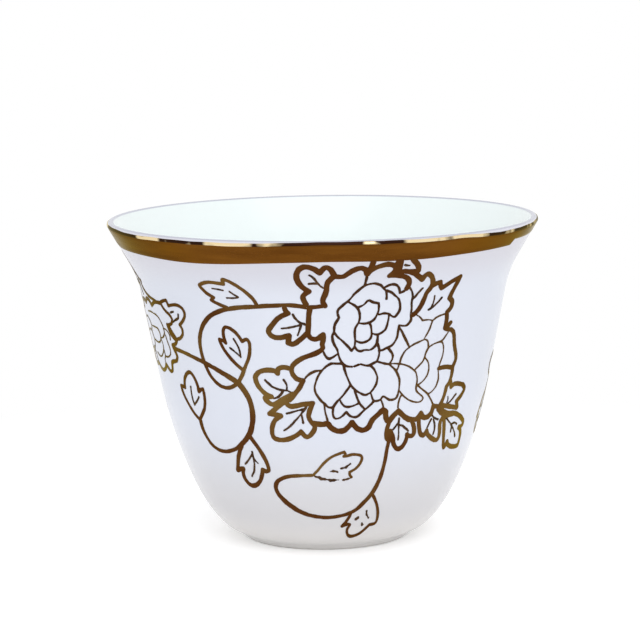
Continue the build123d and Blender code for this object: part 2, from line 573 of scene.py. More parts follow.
def add_mesh(name: str, vertices: np.ndarray, faces: Faces, material: bpy.types.Material,
             crease: float) -> bpy.types.Object:
    """Makes a piece of the cup from a mesh that is given in millimetres.

    Args:
        name: The piece's name.
        vertices: Its points, one to a row.
        faces: Its faces.
        material: Its finish.
        crease: The angle past which a corner stays sharp.

    Returns:
        The piece, riding on the cup.
    """
    mesh = bpy.data.meshes.new(name)
    mesh.from_pydata((vertices * MM).tolist(), [], faces)
    mesh.validate()
    mesh.materials.append(material)
    mesh.shade_smooth()
    mesh.set_sharp_from_angle(angle=math.radians(crease))
    piece = bpy.data.objects.new(name, mesh)
    bpy.context.scene.collection.objects.link(piece)
    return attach(piece, "root")


@dataclass(frozen=True)
class Lathe:
    """Turns half sections about the cup's axis."""

    steps: int = 288       # points on a ring
    crease: float = 35.0   # angle past which a turned corner stays sharp

    def angles(self) -> np.ndarray:
        """The way round of each step, from the front towards the right."""
        return np.linspace(-math.pi, math.pi, self.steps, endpoint=False)

    def ring(self, radii: np.ndarray | float, heights: np.ndarray | float) -> np.ndarray:
        """One ring of points, with one radius and height or with its own at each step."""
        turn = self.angles()
        return np.stack([radii * np.sin(turn), -radii * np.cos(turn), heights + 0 * turn], axis=1)

    def turn(self, name: str, section: np.ndarray, material: bpy.types.Material) -> bpy.types.Object:
        """Turns a half section that starts and ends on the axis.

        Args:
            name: The piece's name.
            section: Points as radius and height.
            material: The finish.

        Returns:
            The turned piece.
        """
        rings = [self.ring(radius, height) for radius, height in section[1:-1]]
        poles = np.array([[0.0, 0.0, section[0][1]], [0.0, 0.0, section[-1][1]]])
        first_pole = len(rings) * self.steps
        last_ring = first_pole - self.steps
        faces = self.skin(len(rings), closed=False)
        for step in range(self.steps):
            after = (step + 1) % self.steps
            faces.append((first_pole, after, step))
            faces.append((first_pole + 1, last_ring + step, last_ring + after))
        return add_mesh(name, np.vstack([*rings, poles]), faces, material, self.crease)

    def wrap(self, name: str, rings: list[np.ndarray], material: bpy.types.Material) -> bpy.types.Object:
        """Joins rings into a closed band, the last to the first."""
        return add_mesh(name, np.vstack(rings), self.skin(len(rings), closed=True), material, self.crease)

    def skin(self, count: int, closed: bool) -> Faces:
        """Faces between neighbouring rings.

        Args:
            count: The number of rings.
            closed: Whether the last ring is joined to the first.

        Returns:
            The faces.
        """
        faces = []
        for low in range(count if closed else count - 1):
            high = (low + 1) % count
            for step in range(self.steps):
                after = (step + 1) % self.steps
                faces.append((low * self.steps + step, low * self.steps + after,
                              high * self.steps + after, high * self.steps + step))
        return faces


@dataclass
class Cup:
    """The porcelain body and its two patches of glaze."""

    section: CupSection
    lathe: Lathe
    bare: BarePorcelain = BarePorcelain()
    hidden_points: int = 14   # on each curve of the faces that the glaze hides

    def build(self) -> list[bpy.types.Object]:
        """Turns the body and its glaze.

        Returns:
            The pieces.
        """
        glazed = GlossGlaze(crest=self.section.height).make()
        return [self.body(self.bare.make()), self.coat(glazed), self.base_patch(glazed)]

    def body(self, finish: bpy.types.Material) -> bpy.types.Object:
        """Turns the fired porcelain under the glaze, which is bare only under the foot ring.

        Args:
            finish: The bare porcelain's material.

        Returns:
            The piece.
        """
        cup = self.section
        ceiling = cup.foot_recess + cup.glaze
        under = np.array([
            (0, ceiling),
            (cup.ring_inner, ceiling),
            (cup.ring_inner, cup.foot_bevel),
            (cup.ring_inner + cup.foot_bevel, 0),
            (cup.stand_radius, 0),
        ])
        lip = cup.lip_round(-cup.glaze)[1:-1]
        outer = cup.outside(cup.glaze, self.hidden_points)
        inner = cup.inside(cup.glaze, self.hidden_points)
        line = np.vstack([under, outer, lip, inner[::-1]])
        piece = self.lathe.turn("fired_body", line, finish)
        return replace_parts(piece, "porcelain_body")

    def coat(self, finish: bpy.types.Material) -> bpy.types.Object:
        """Turns the glaze, from the foot ring's side over the lip to the middle of the floor.

        Args:
            finish: The glaze's material.

        Returns:
            The piece.
        """
        cup = self.section
        seat_lip = cup.lip_round(-cup.glaze)[1:-1]
        outer_seat = cup.outside(cup.glaze, self.hidden_points)
        inner_seat = cup.inside(cup.glaze, self.hidden_points)
        seat = np.vstack([inner_seat, seat_lip[::-1], outer_seat[::-1]])
        skin = np.vstack([cup.outside(), cup.lip_round(0)[1:-1], cup.inside()[::-1]])
        piece = self.lathe.turn("glaze_skin", np.vstack([seat, skin]), finish)
        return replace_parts(piece, "glaze_coat")

    def base_patch(self, finish: bpy.types.Material) -> bpy.types.Object:
        """Turns the patch of glaze inside the foot ring.

        Args:
            finish: The glaze's material.

        Returns:
            The piece.
        """
        cup = self.section
        low, high = cup.foot_recess, cup.foot_recess + cup.glaze
        line = np.array([(0, low), (cup.ring_inner, low), (cup.ring_inner, high), (0, high)])
        piece = self.lathe.turn("base_glaze_patch", line, finish)
        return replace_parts(piece, "base_glaze")


@dataclass
class RimGilding:
    """The gilding of the rim, laid by a brush on a turning wheel.

    A band lies on the collar and the lip's outer side, and a bead of gold runs along its upper edge, its
    colour painted with glints and dark reflections.
    """

    section: CupSection
    lathe: Lathe
    # Width of the gilding down the collar, by way round from the seam back to it
    widths: Run = ((62.0, 1.62), (95.0, 1.75), (150.0, 2.3), (220.0, 2.8), (294.0, 3.14), (318.0, 3.47),
                   (331.0, 3.35), (346.0, 2.9), (361.0, 2.67), (373.0, 2.82), (386.0, 2.93), (400.0, 2.74),
                   (418.6, 2.57))
    # How far it goes on round the lip above the widest place, by way round from the back
    rises: Run = ((-180.0, 36.0), (-95.0, 36.0), (-60.0, 22.0), (-36.0, 15.0), (-23.0, 18.0), (-12.0, 36.0),
                  (4.0, 46.0), (20.0, 40.0), (28.0, 34.0), (37.0, 40.0), (48.0, 12.0), (62.0, 15.0),
                  (95.0, 36.0), (180.0, 36.0))
    rise_waver: float = 3.0       # how raggedly it ends there
    # Waves of that ragged end: their strength, how many go round the rim, and where they begin in radians
    rags: tuple[tuple[float, int, float], ...] = ((1.0, 9, 1.0), (0.8, 16, 2.4), (0.6, 37, 2.0))
    film: float = 0.05            # thickness of the band above the glaze
    bead_film: float = 0.07       # thickness of the bead
    bead_width: float = 0.5
    lap: float = 0.06             # how far the bead lies over the band
    edge_film: float = 0.004      # what is left of either thickness at an edge
    feather: float = 0.125        # share of a strip over which its film thins to either edge
    sink: float = 0.04            # how deep the strips reach into the glaze
    rows: int = 36                # rows of points across the band
    bead_rows: int = 9            # rows of points across the bead
    # Gold painted brown as a reflection of a dark room, with long faint streaks where the brush lay against
    # the turning rim
    gold: FiredGold = FiredGold("gold_brushed_fired", "#6D4310", "#5B3408")
    # A rounded bead whose colour is painted: pale glints in some stretches and dark reflections in others
    bead: FiredGold = FiredGold("gold_bead_painted_glints", "#F3DDB0", "#2E1810", streak=6.5, draw=1.0,
                                start=58609.0, filling=(0.48, 0.55))

    def build(self) -> list[bpy.types.Object]:
        """Lays the band and the bead.

        Returns:
            The pieces.
        """
        low, high = self.edges()
        foot = high - self.bead_width
        band = self.strip("rim_gilding", low, foot + self.lap, self.film, self.rows, self.gold)
        bead = self.strip("rim_bead", foot, high, self.bead_film, self.bead_rows, self.bead)
        return [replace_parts(band, "gilt_rim_band"), bead]

    def strip(self, name: str, low: np.ndarray, high: np.ndarray, film: float, rows: int,
              finish: FiredGold) -> bpy.types.Object:
        """Lays a closed strip of gold round the rim.

        Args:
            name: The piece's name.
            low: Its lower edge, as lengths along the face at each step.
            high: Its upper edge.
            film: Its thickness above the glaze.
            rows: The number of rows of points across it.
            finish: The gilding.

        Returns:
            The piece.
        """
        faces, backs = [], []
        for share in np.linspace(0, 1, rows):
            way = low + (high - low) * share
            thickness = self.edge_film + film * min(1.0, share / self.feather, (1 - share) / self.feather)
            faces.append(self.ring(way, thickness))
            backs.append(self.ring(way, -self.sink))
        piece = self.lathe.wrap(name, faces + backs[::-1], finish.make())
        return piece

    def edges(self) -> tuple[np.ndarray, np.ndarray]:
        """The gilding's two edges at each step round the rim.

        Returns:
            The edges as lengths along the face from the foot of the lip's round, negative down the collar.
        """
        turn = self.lathe.angles()
        line = smooth_line(self.widths)
        since_seam = np.mod(np.degrees(turn) - line[0, 0], 360) + line[0, 0]
        brushed = np.interp(since_seam, line[:, 0], line[:, 1])
        ragged = sum(strength * np.sin(count * turn + start) for strength, count, start in self.rags)
        rising = smooth_line(self.rises)
        rise = np.interp(np.degrees(turn), rising[:, 0], rising[:, 1])
        top = np.radians(self.section.flare_lean + rise + self.rise_waver * ragged)
        return -brushed, top * self.section.lip_radius

    def ring(self, way: np.ndarray, proud: float) -> np.ndarray:
        """Points on the rim's outer face at each step.

        Args:
            way: Lengths along the face from the foot of the lip's round.
            proud: Height above the glaze.

        Returns:
            One ring of points.
        """
        cup = self.section
        lean = np.radians(cup.flare_lean)
        on_lip = np.maximum(way, 0) / cup.lip_radius - lean
        reach = cup.lip_radius + proud
        down = np.minimum(way, 0)
        radii = cup.lip_centre[0] + reach * np.cos(on_lip) + down * np.sin(lean)
        heights = cup.lip_centre[1] + reach * np.sin(on_lip) + down * np.cos(lean)
        return self.lathe.ring(radii, heights)


class Ink(Enum):
    """The kinds of stroke in a spray, each a piece of its own."""

    STEMS = "stems"
    LEAVES = "leaf_outlines"
    VEINS = "leaf_veins"
    CONTOURS = "blossom_contours"
    PETALS = "petal_lines"


# Where strokes of two kinds cross, the kind that comes first here keeps its gold
CROSSING_ORDER = (Ink.CONTOURS, Ink.LEAVES, Ink.STEMS, Ink.PETALS, Ink.VEINS)


@dataclass(frozen=True)
class Leaf:
    """A lobed leaf.

    Its outline is in smooth runs, each of which goes on from a corner where the last one ended.
    """

    outline: tuple[Run, ...]
    veins: tuple[Run, ...]
    line: float = 0.76        # width of the outline's stroke
    vein_line: float = 0.33   # width of a vein's stroke
    vein_waver: float = 0.3   # how unevenly the veins are drawn


@dataclass(frozen=True)
class Stem:
    """A stem, one smooth stroke whose width swells and thins along it."""

    widths: tuple[float, ...]   # at even steps along the stem
    places: Run


@dataclass(frozen=True)
class Blossom:
    """A peony. Each of its edges is in smooth runs as a leaf's outline is, and fine lines part its petals."""

    edges: tuple[tuple[Run, ...], ...]
    petals: tuple[Run, ...]
    edge_line: float    # width of an edge's stroke
    petal_line: float   # width of a petal's stroke


# The spray's strokes, by places on the sheet: the way round the wall from the front, and the height
STEMS = (
    Stem(
        widths=(0.64, 0.64, 0.82, 0.76, 0.58, 0.58, 0.7, 0.95, 0.76, 0.58, 0.5),
        places=(
            (10.3, 18.9), (10.1, 17.2), (10.0, 15.5), (9.7, 13.5), (9.15, 11.8), (8.3, 10.3), (7.0, 8.9),
            (5.6, 7.8), (4.0, 7.15), (2.0, 6.8), (0.0, 6.65), (-2.0, 6.8), (-4.0, 7.2), (-6.0, 8.0),
            (-7.8, 9.2), (-8.9, 10.3), (-9.3, 11.4), (-8.9, 12.4), (-7.8, 13.1), (-6.2, 13.5),
            (-4.2, 13.65), (-2.4, 13.7),
        ),
    ),
    Stem(
        widths=(0.64, 0.64, 0.7, 0.7, 0.58, 0.64),
        places=(
            (0.0, 39.7), (-2.0, 39.5), (-4.6, 39.8), (-7.6, 39.65), (-9.4, 39.45), (-11.2, 39.3),
            (-13.0, 39.0), (-14.6, 38.6), (-16.0, 38.0), (-17.3, 37.1), (-18.3, 36.0), (-19.0, 34.7),
            (-19.4, 33.3), (-19.4, 31.9), (-19.2, 30.6), (-18.8, 29.4), (-18.2, 28.3), (-17.3, 27.4),
            (-16.3, 26.9), (-15.3, 26.8), (-14.3, 27.1), (-13.4, 27.8), (-12.6, 28.8), (-12.1, 29.8),
        ),
    ),
    Stem(
        widths=(0.64, 0.64, 0.7, 0.95, 0.9, 0.9, 0.58, 0.64, 0.85),
        places=(
            (-25.6, 31.7), (-23.0, 31.3), (-20.8, 30.75), (-19.0, 30.25), (-17.0, 29.5), (-15.0, 28.6),
            (-13.5, 27.8), (-12.6, 26.8), (-11.95, 25.6), (-11.6, 24.4), (-11.5, 23.2), (-11.7, 21.8),
            (-12.2, 20.5), (-12.9, 19.5), (-14.0, 18.4), (-15.2, 17.55), (-16.6, 16.95), (-18.2, 16.6),
            (-19.7, 16.75), (-21.0, 17.4), (-21.9, 18.5), (-22.4, 19.8), (-22.5, 21.1),
        ),
    ),
    Stem(
        widths=(0.64, 0.64, 0.58),
        places=(
            (-35.5, 30.5), (-38.0, 28.9), (-40.6, 28.2), (-43.2, 28.5), (-45.4, 28.2), (-46.4, 27.2),
            (-45.6, 25.8), (-43.0, 24.8),
        ),
    ),
)

LEAVES = (
    # Round the cluster, from the top to the left and on
    Leaf(
        outline=(
            ((-2.4, 39.9), (-2.65, 40.5), (-2.75, 41.2), (-2.0, 41.9)),
            ((-2.7, 42.5), (-3.2, 43.3), (-3.4, 44.2), (-3.15, 45.1), (-2.5, 45.65), (-1.8, 45.65),
             (-1.1, 45.3), (-0.5, 44.75)),
            ((-0.1, 45.35), (0.3, 45.6), (0.8, 45.25), (1.2, 44.5), (1.4, 44.15)),
        ),
        veins=(
            ((-1.8, 44.4), (-1.3, 44.0), (-0.9, 43.35), (-0.5, 42.75), (-0.05, 42.4)),
            ((-1.9, 43.1), (-1.3, 43.15), (-0.75, 43.05)),
        ),
    ),
    Leaf(
        outline=(
            ((-5.35, 39.6), (-5.2, 39.0), (-4.9, 38.6)),
            ((-5.7, 38.2), (-6.5, 37.6), (-7.2, 36.8), (-7.8, 35.9), (-7.55, 35.3), (-7.0, 34.95),
             (-6.2, 34.9), (-5.5, 35.1), (-4.9, 35.25)),
            ((-5.0, 34.7), (-5.1, 34.15)),
            ((-4.6, 33.95), (-4.1, 34.1), (-3.5, 34.6), (-2.9, 35.1), (-2.4, 35.6)),
        ),
        veins=(
            ((-4.2, 38.4), (-3.9, 37.8), (-3.3, 37.2), (-2.4, 36.9)),
            ((-5.9, 36.3), (-5.0, 36.4), (-4.1, 36.6), (-3.3, 36.85)),
            ((-3.2, 36.8), (-3.4, 36.2), (-3.7, 35.3)),
        ),
    ),
    Leaf(
        outline=(
            ((-4.85, 30.2), (-5.5, 30.4), (-6.2, 30.45), (-6.75, 30.2), (-6.95, 29.5)),
            ((-7.3, 29.85), (-8.0, 29.95), (-8.8, 29.9), (-9.6, 29.65), (-10.25, 29.1), (-10.4, 28.4),
             (-10.1, 27.5), (-9.6, 26.8), (-8.9, 26.2), (-8.1, 25.9)),
            ((-8.6, 25.85), (-9.2, 25.65)),
            ((-8.9, 25.2), (-8.4, 24.85), (-7.9, 24.7)),
            ((-7.2, 25.1), (-6.4, 25.55), (-5.6, 26.0), (-4.9, 26.4)),
        ),
        veins=(
            ((-8.9, 28.4), (-8.4, 27.9), (-7.8, 27.4), (-7.0, 27.1), (-6.3, 26.95), (-5.6, 26.9),
             (-5.0, 26.6)),
            ((-6.1, 28.5), (-5.8, 28.1), (-5.65, 27.6), (-5.7, 27.1)),
            ((-6.2, 26.9), (-6.6, 26.4), (-7.1, 25.9), (-7.8, 25.65)),
        ),
    ),
    Leaf(
        outline=(
            ((-5.4, 25.7), (-5.85, 25.2), (-5.7, 24.7), (-5.2, 24.5), (-4.4, 24.6), (-3.5, 24.85),
             (-2.6, 24.95), (-1.9, 25.05)),
            ((-2.2, 24.4), (-2.5, 23.6), (-2.6, 22.9), (-2.3, 22.2), (-1.8, 21.6), (-1.8, 21.0),
             (-2.2, 20.4), (-2.7, 19.9), (-3.2, 19.85), (-3.9, 20.6)),
            ((-4.6, 20.1), (-5.5, 19.6), (-6.5, 19.3), (-7.5, 19.25), (-8.3, 19.5), (-8.6, 20.1),
             (-8.55, 20.9), (-8.3, 21.7), (-7.8, 22.4), (-6.9, 23.0)),
            ((-7.7, 23.15), (-8.7, 23.25)),
            ((-8.0, 23.8), (-7.3, 24.4), (-6.4, 25.0)),
        ),
        veins=(
            ((-6.0, 23.4), (-5.2, 23.6), (-4.2, 23.9), (-3.4, 24.1)),
            ((-6.6, 20.75), (-6.0, 21.1), (-5.3, 21.7), (-4.6, 22.4), (-4.0, 23.1), (-3.4, 23.8),
             (-2.9, 24.5)),
            ((-3.7, 23.2), (-3.6, 22.6), (-3.5, 22.0)),
        ),
    ),
    Leaf(
        outline=(
            ((10.3, 22.1), (9.9, 21.2), (9.75, 20.3), (9.75, 19.5), (9.9, 19.0), (10.2, 18.9)),
            ((10.3, 19.5), (10.35, 20.2)),
            ((10.95, 19.1), (11.1, 18.3), (11.5, 17.6), (12.1, 17.2), (12.8, 17.4), (13.3, 18.1),
             (13.5, 18.8), (13.45, 19.35)),
            ((14.0, 19.05), (14.6, 19.1), (14.75, 19.7), (14.5, 20.6), (14.1, 21.3), (13.8, 21.6)),
        ),
        veins=(
            ((11.7, 22.0), (11.7, 21.2), (11.8, 20.3), (11.9, 19.4), (11.9, 18.7)),
            ((11.6, 21.1), (12.4, 20.8), (13.1, 20.3), (13.6, 19.9)),
            ((11.5, 21.2), (11.1, 20.7), (10.6, 20.2)),
        ),
    ),
    Leaf(
        outline=(
            ((15.3, 21.7), (15.45, 20.9), (15.7, 20.1), (16.0, 19.3), (16.5, 18.9), (17.0, 18.95),
             (17.3, 19.5)),
            ((17.6, 19.0), (18.2, 18.45), (18.9, 18.05), (19.6, 17.75), (20.2, 17.75), (20.4, 18.3),
             (20.3, 19.1), (20.1, 19.9), (20.1, 20.6), (20.5, 21.3)),
        ),
        veins=(
            ((17.3, 19.9), (17.6, 20.6), (17.9, 21.2)),
            ((18.9, 18.7), (19.0, 19.5), (18.8, 20.3), (18.4, 21.1)),
            ((17.7, 22.3), (18.0, 21.8), (18.6, 21.3), (19.4, 21.0)),
        ),
    ),
    Leaf(
        outline=(
            ((17.8, 23.1), (18.6, 23.1), (19.4, 22.8), (20.4, 22.1), (21.6, 21.6), (22.8, 21.5),
             (23.8, 21.25), (24.9, 20.8), (25.9, 20.25), (26.7, 19.65), (26.75, 19.1), (26.2, 18.85),
             (25.6, 18.85)),
            ((26.3, 18.4), (26.8, 17.6), (27.05, 16.7), (27.05, 15.8)),
            ((26.2, 15.75), (25.2, 15.85), (24.2, 16.1), (23.4, 16.5), (22.95, 17.0)),
            ((22.8, 16.45), (22.5, 16.2), (22.1, 16.7), (21.8, 17.6), (21.5, 18.7), (21.2, 19.8),
             (20.6, 21.5)),
        ),
        veins=(
            ((21.3, 21.0), (22.2, 20.3), (23.0, 19.7), (23.8, 19.0), (24.5, 18.3), (25.1, 17.5)),
            ((23.3, 19.8), (24.0, 19.8), (24.7, 19.5)),
            ((23.2, 19.6), (23.3, 19.2), (23.4, 18.5)),
        ),
    ),
    Leaf(
        outline=(
            ((20.9, 26.8), (21.2, 26.2), (21.35, 25.75)),
            ((21.9, 26.1), (22.7, 26.05), (23.6, 25.85), (24.4, 25.55), (24.95, 25.0), (24.7, 24.4),
             (24.1, 23.8), (23.2, 23.25)),
            ((23.5, 22.8), (23.75, 22.2)),
            ((22.9, 22.4), (22.0, 22.6), (21.0, 22.85), (20.0, 23.05)),
        ),
        veins=(
            ((20.9, 24.3), (21.0, 23.8), (20.8, 23.2)),
            ((22.8, 24.4), (22.2, 23.9), (21.5, 23.4), (20.8, 23.1)),
        ),
    ),
    Leaf(
        outline=(
            ((14.7, 41.75), (15.3, 42.1), (16.0, 42.3)),
            ((16.2, 41.8), (16.5, 41.35)),
            ((17.3, 41.75), (18.2, 42.25), (19.25, 42.75)),
            ((19.1, 42.0), (18.85, 41.2), (18.55, 40.4), (18.3, 39.6)),
            ((18.9, 39.1), (19.0, 38.6), (18.8, 38.0), (18.2, 37.5)),
        ),
        veins=(
            ((16.9, 39.8), (16.2, 39.1), (15.5, 38.5), (14.9, 38.2)),
            ((15.6, 40.2), (15.6, 39.5), (15.4, 38.6)),
        ),
    ),
    Leaf(
        outline=(
            ((11.1, 44.3), (11.7, 44.05), (12.3, 43.55), (13.0, 43.0)),
            ((13.2, 43.5), (13.6, 43.8), (14.15, 43.5), (14.6, 42.9), (14.8, 42.2), (14.6, 41.5),
             (14.2, 40.9), (14.0, 40.2), (13.8, 39.5), (13.5, 38.8), (13.1, 38.2), (12.5, 37.7)),
        ),
        veins=(
            ((13.4, 41.6), (13.0, 41.15), (12.6, 40.6), (12.2, 40.2)),
            ((11.2, 42.5), (11.5, 41.8), (11.9, 41.2), (12.1, 40.4), (12.05, 39.5), (12.15, 38.6),
             (12.1, 37.7)),
        ),
    ),
    Leaf(
        outline=(
            ((10.9, 46.2), (11.5, 45.6), (11.95, 45.0), (12.05, 44.4)),
            ((11.4, 44.35), (10.7, 44.4), (10.1, 44.5), (9.6, 44.3), (9.3, 44.1)),
            ((9.3, 44.6), (9.35, 45.4), (9.35, 46.2)),
        ),
        veins=(
            ((10.0, 45.5), (10.3, 45.4), (10.6, 45.35)),
        ),
    ),
    # On the stems
    Leaf(
        outline=(
            ((-9.1, 39.7), (-9.6, 40.7), (-10.6, 41.8), (-11.7, 42.7), (-12.7, 43.3), (-13.3, 43.4),
             (-13.4, 42.7)),
            ((-14.4, 42.8), (-15.4, 42.85), (-16.4, 42.7), (-17.3, 42.25), (-17.0, 41.6), (-16.4, 41.0),
             (-15.5, 40.5)),
            ((-16.0, 40.05),),
            ((-15.3, 39.7), (-14.5, 39.4), (-13.6, 39.1)),
        ),
        veins=(
            ((-12.8, 41.6), (-12.3, 41.2), (-11.6, 40.8)),
            ((-15.4, 41.9), (-14.6, 41.85), (-13.7, 41.7)),
            ((-13.4, 40.6), (-12.5, 40.6), (-11.7, 40.7)),
        ),
        line=0.54,
        vein_line=0.27,
    ),
    Leaf(
        outline=(
            ((-12.1, 29.8), (-11.5, 30.9), (-11.0, 32.0), (-10.8, 33.2), (-10.8, 34.0), (-11.2, 34.45),
             (-11.9, 34.1)),
            ((-12.3, 34.8), (-12.9, 35.5), (-13.7, 36.0), (-14.4, 36.1), (-14.75, 35.5), (-14.8, 34.6),
             (-14.6, 33.7)),
            ((-15.0, 34.0), (-15.6, 34.15)),
            ((-15.4, 33.4), (-14.8, 32.3), (-14.0, 31.3), (-13.1, 30.4), (-12.2, 29.7)),
        ),
        veins=(
            ((-13.2, 34.4), (-12.8, 33.7), (-12.5, 32.8), (-12.4, 31.7)),
            ((-14.0, 33.0), (-13.3, 32.5), (-12.6, 31.9)),
        ),
        line=0.54,
        vein_line=0.3,
    ),
    Leaf(
        outline=(
            ((-22.5, 21.2), (-21.7, 22.0), (-20.9, 23.0), (-20.5, 24.0), (-20.35, 25.2), (-20.4, 26.1)),
            ((-20.9, 25.95), (-21.5, 25.6)),
            ((-21.5, 26.4), (-21.8, 27.3), (-22.3, 28.1), (-22.9, 28.4), (-23.7, 28.1), (-24.4, 27.4),
             (-24.8, 26.6), (-24.9, 25.8)),
            ((-25.4, 25.9), (-26.0, 25.9)),
            ((-25.9, 25.1), (-25.3, 23.9), (-24.5, 22.8), (-23.6, 21.8), (-22.6, 21.1)),
        ),
        veins=(
            ((-23.3, 26.1), (-23.4, 25.2), (-23.4, 24.3), (-23.2, 23.3)),
            ((-21.7, 24.7), (-22.4, 24.0), (-23.1, 23.4)),
        ),
        line=0.6,
    ),
    Leaf(
        outline=(
            ((-12.5, 19.4), (-11.7, 18.3), (-11.0, 17.2), (-10.4, 16.0), (-10.1, 14.9), (-10.1, 14.3),
             (-10.6, 14.1), (-11.2, 14.3)),
            ((-11.5, 13.5), (-12.1, 12.5), (-12.9, 11.8), (-13.8, 11.5), (-14.6, 11.7), (-15.2, 12.5),
             (-15.3, 13.4), (-15.0, 14.2)),
            ((-15.6, 14.1), (-16.4, 13.8)),
            ((-16.0, 14.8), (-15.6, 15.9), (-15.0, 17.0), (-14.4, 17.9)),
        ),
        veins=(
            ((-12.6, 17.0), (-12.6, 16.2), (-12.6, 15.2), (-12.9, 14.0), (-13.6, 13.1)),
            ((-12.6, 16.8), (-13.4, 15.9), (-14.4, 15.0)),
            ((-12.6, 16.3), (-12.3, 15.7), (-11.9, 15.3)),
        ),
        line=0.72,
    ),
    Leaf(
        outline=(
            ((-2.3, 13.75), (-1.5, 14.5), (-0.7, 15.4), (0.2, 16.2), (1.0, 16.7), (1.8, 17.0),
             (2.9, 17.35)),
            ((3.1, 17.0), (2.8, 16.65)),
            ((3.4, 16.7), (4.2, 16.9), (5.1, 16.85), (5.75, 16.6), (5.9, 16.0), (5.5, 15.2), (4.9, 14.6),
             (3.9, 14.1)),
            ((4.0, 13.6), (4.3, 13.3)),
        ),
        veins=(
            ((0.6, 14.3), (1.2, 14.3), (1.9, 14.2)),
            ((2.4, 14.7), (3.3, 14.95), (4.0, 15.4)),
            ((4.3, 13.3), (3.8, 13.05), (2.8, 12.9), (1.6, 12.9), (0.4, 12.95), (-0.6, 13.1),
             (-1.5, 13.35), (-2.3, 13.65)),
        ),
        line=0.44,
        vein_line=0.3,
        vein_waver=0.9,
    ),
    Leaf(
        outline=(
            ((8.3, 10.3), (9.0, 9.6), (9.7, 8.5), (10.3, 7.3), (10.6, 6.2), (10.6, 5.4), (10.2, 5.05),
             (9.2, 5.0)),
            ((8.7, 4.5), (7.9, 3.8), (6.9, 3.3), (5.8, 3.05), (5.0, 3.15), (4.45, 3.7), (4.35, 4.4),
             (4.8, 5.25)),
            ((4.2, 5.35), (3.1, 5.05)),
            ((3.7, 5.6), (4.2, 6.2), (4.6, 6.9), (4.8, 7.4)),
        ),
        veins=(
            ((7.9, 7.4), (8.0, 6.9), (8.3, 6.5), (8.6, 6.2)),
            ((5.9, 6.2), (6.4, 6.45)),
            ((7.4, 5.3), (7.5, 5.1)),
        ),
        line=0.58,
        vein_line=0.36,
        vein_waver=0.6,
    ),
    # By the small blossom
    Leaf(
        outline=(
            ((-24.7, 33.2), (-23.7, 33.5), (-22.9, 34.2), (-22.8, 35.0), (-23.2, 35.6)),
            ((-22.4, 36.2), (-21.8, 36.9), (-21.6, 37.6), (-22.0, 38.3), (-22.8, 38.6), (-23.8, 38.6),
             (-25.2, 38.3)),
            ((-25.5, 39.1),),
            ((-26.4, 38.9), (-27.3, 38.4), (-26.4, 37.4), (-25.4, 36.9), (-24.9, 36.2), (-25.4, 35.5),
             (-26.4, 35.2)),
            ((-25.8, 34.5), (-25.2, 33.8), (-24.7, 33.2)),
        ),
        veins=(
            ((-24.9, 37.3), (-24.2, 37.5)),
            ((-23.1, 37.2), (-23.3, 36.6), (-24.2, 36.2), (-24.8, 35.8)),
        ),
        line=0.52,
    ),
    Leaf(
        outline=(
            ((-28.8, 38.5), (-30.0, 38.7), (-31.5, 39.0), (-32.6, 39.4), (-33.6, 40.0), (-33.9, 40.6)),
            ((-33.4, 41.1),),
            ((-34.2, 41.4), (-35.3, 42.1), (-36.3, 43.1), (-37.2, 44.3), (-37.9, 44.9), (-38.7, 44.6),
             (-39.2, 43.6), (-39.4, 42.5), (-39.3, 41.5)),
            ((-39.9, 41.7), (-40.7, 41.6)),
            ((-40.6, 40.6), (-40.0, 39.4), (-38.9, 38.4), (-37.5, 37.8), (-36.2, 37.6)),
        ),
        veins=(
            ((-37.6, 43.2), (-36.8, 41.6), (-35.6, 39.8), (-34.6, 38.8)),
            ((-39.0, 40.8), (-37.6, 40.4), (-36.2, 40.3)),
            ((-35.0, 41.1), (-35.2, 40.4), (-35.6, 39.8)),
        ),
        line=0.52,
    ),
    Leaf(
        outline=(
            ((-43.0, 24.8), (-42.0, 23.9), (-41.1, 22.9), (-40.4, 21.7), (-40.0, 20.6), (-40.0, 20.0),
             (-40.5, 19.7), (-41.1, 19.9)),
            ((-41.4, 19.0), (-41.9, 17.9), (-42.8, 17.0), (-44.1, 16.5), (-45.6, 16.6), (-46.6, 17.2),
             (-47.1, 18.1), (-46.9, 19.0)),
            ((-47.3, 19.2), (-47.8, 19.4)),
            ((-47.4, 20.5), (-46.7, 21.7), (-45.3, 22.9), (-43.7, 24.2), (-43.0, 24.8)),
        ),
        veins=(
            ((-43.1, 23.0), (-43.2, 21.6), (-43.4, 20.0), (-43.7, 18.4)),
            ((-43.2, 21.8), (-44.6, 20.9), (-46.0, 20.4)),
            ((-43.5, 19.4), (-44.8, 18.6), (-45.9, 18.2)),
            ((-43.2, 21.2), (-42.4, 20.7), (-41.7, 20.5)),
        ),
        line=0.86,
    ),
)

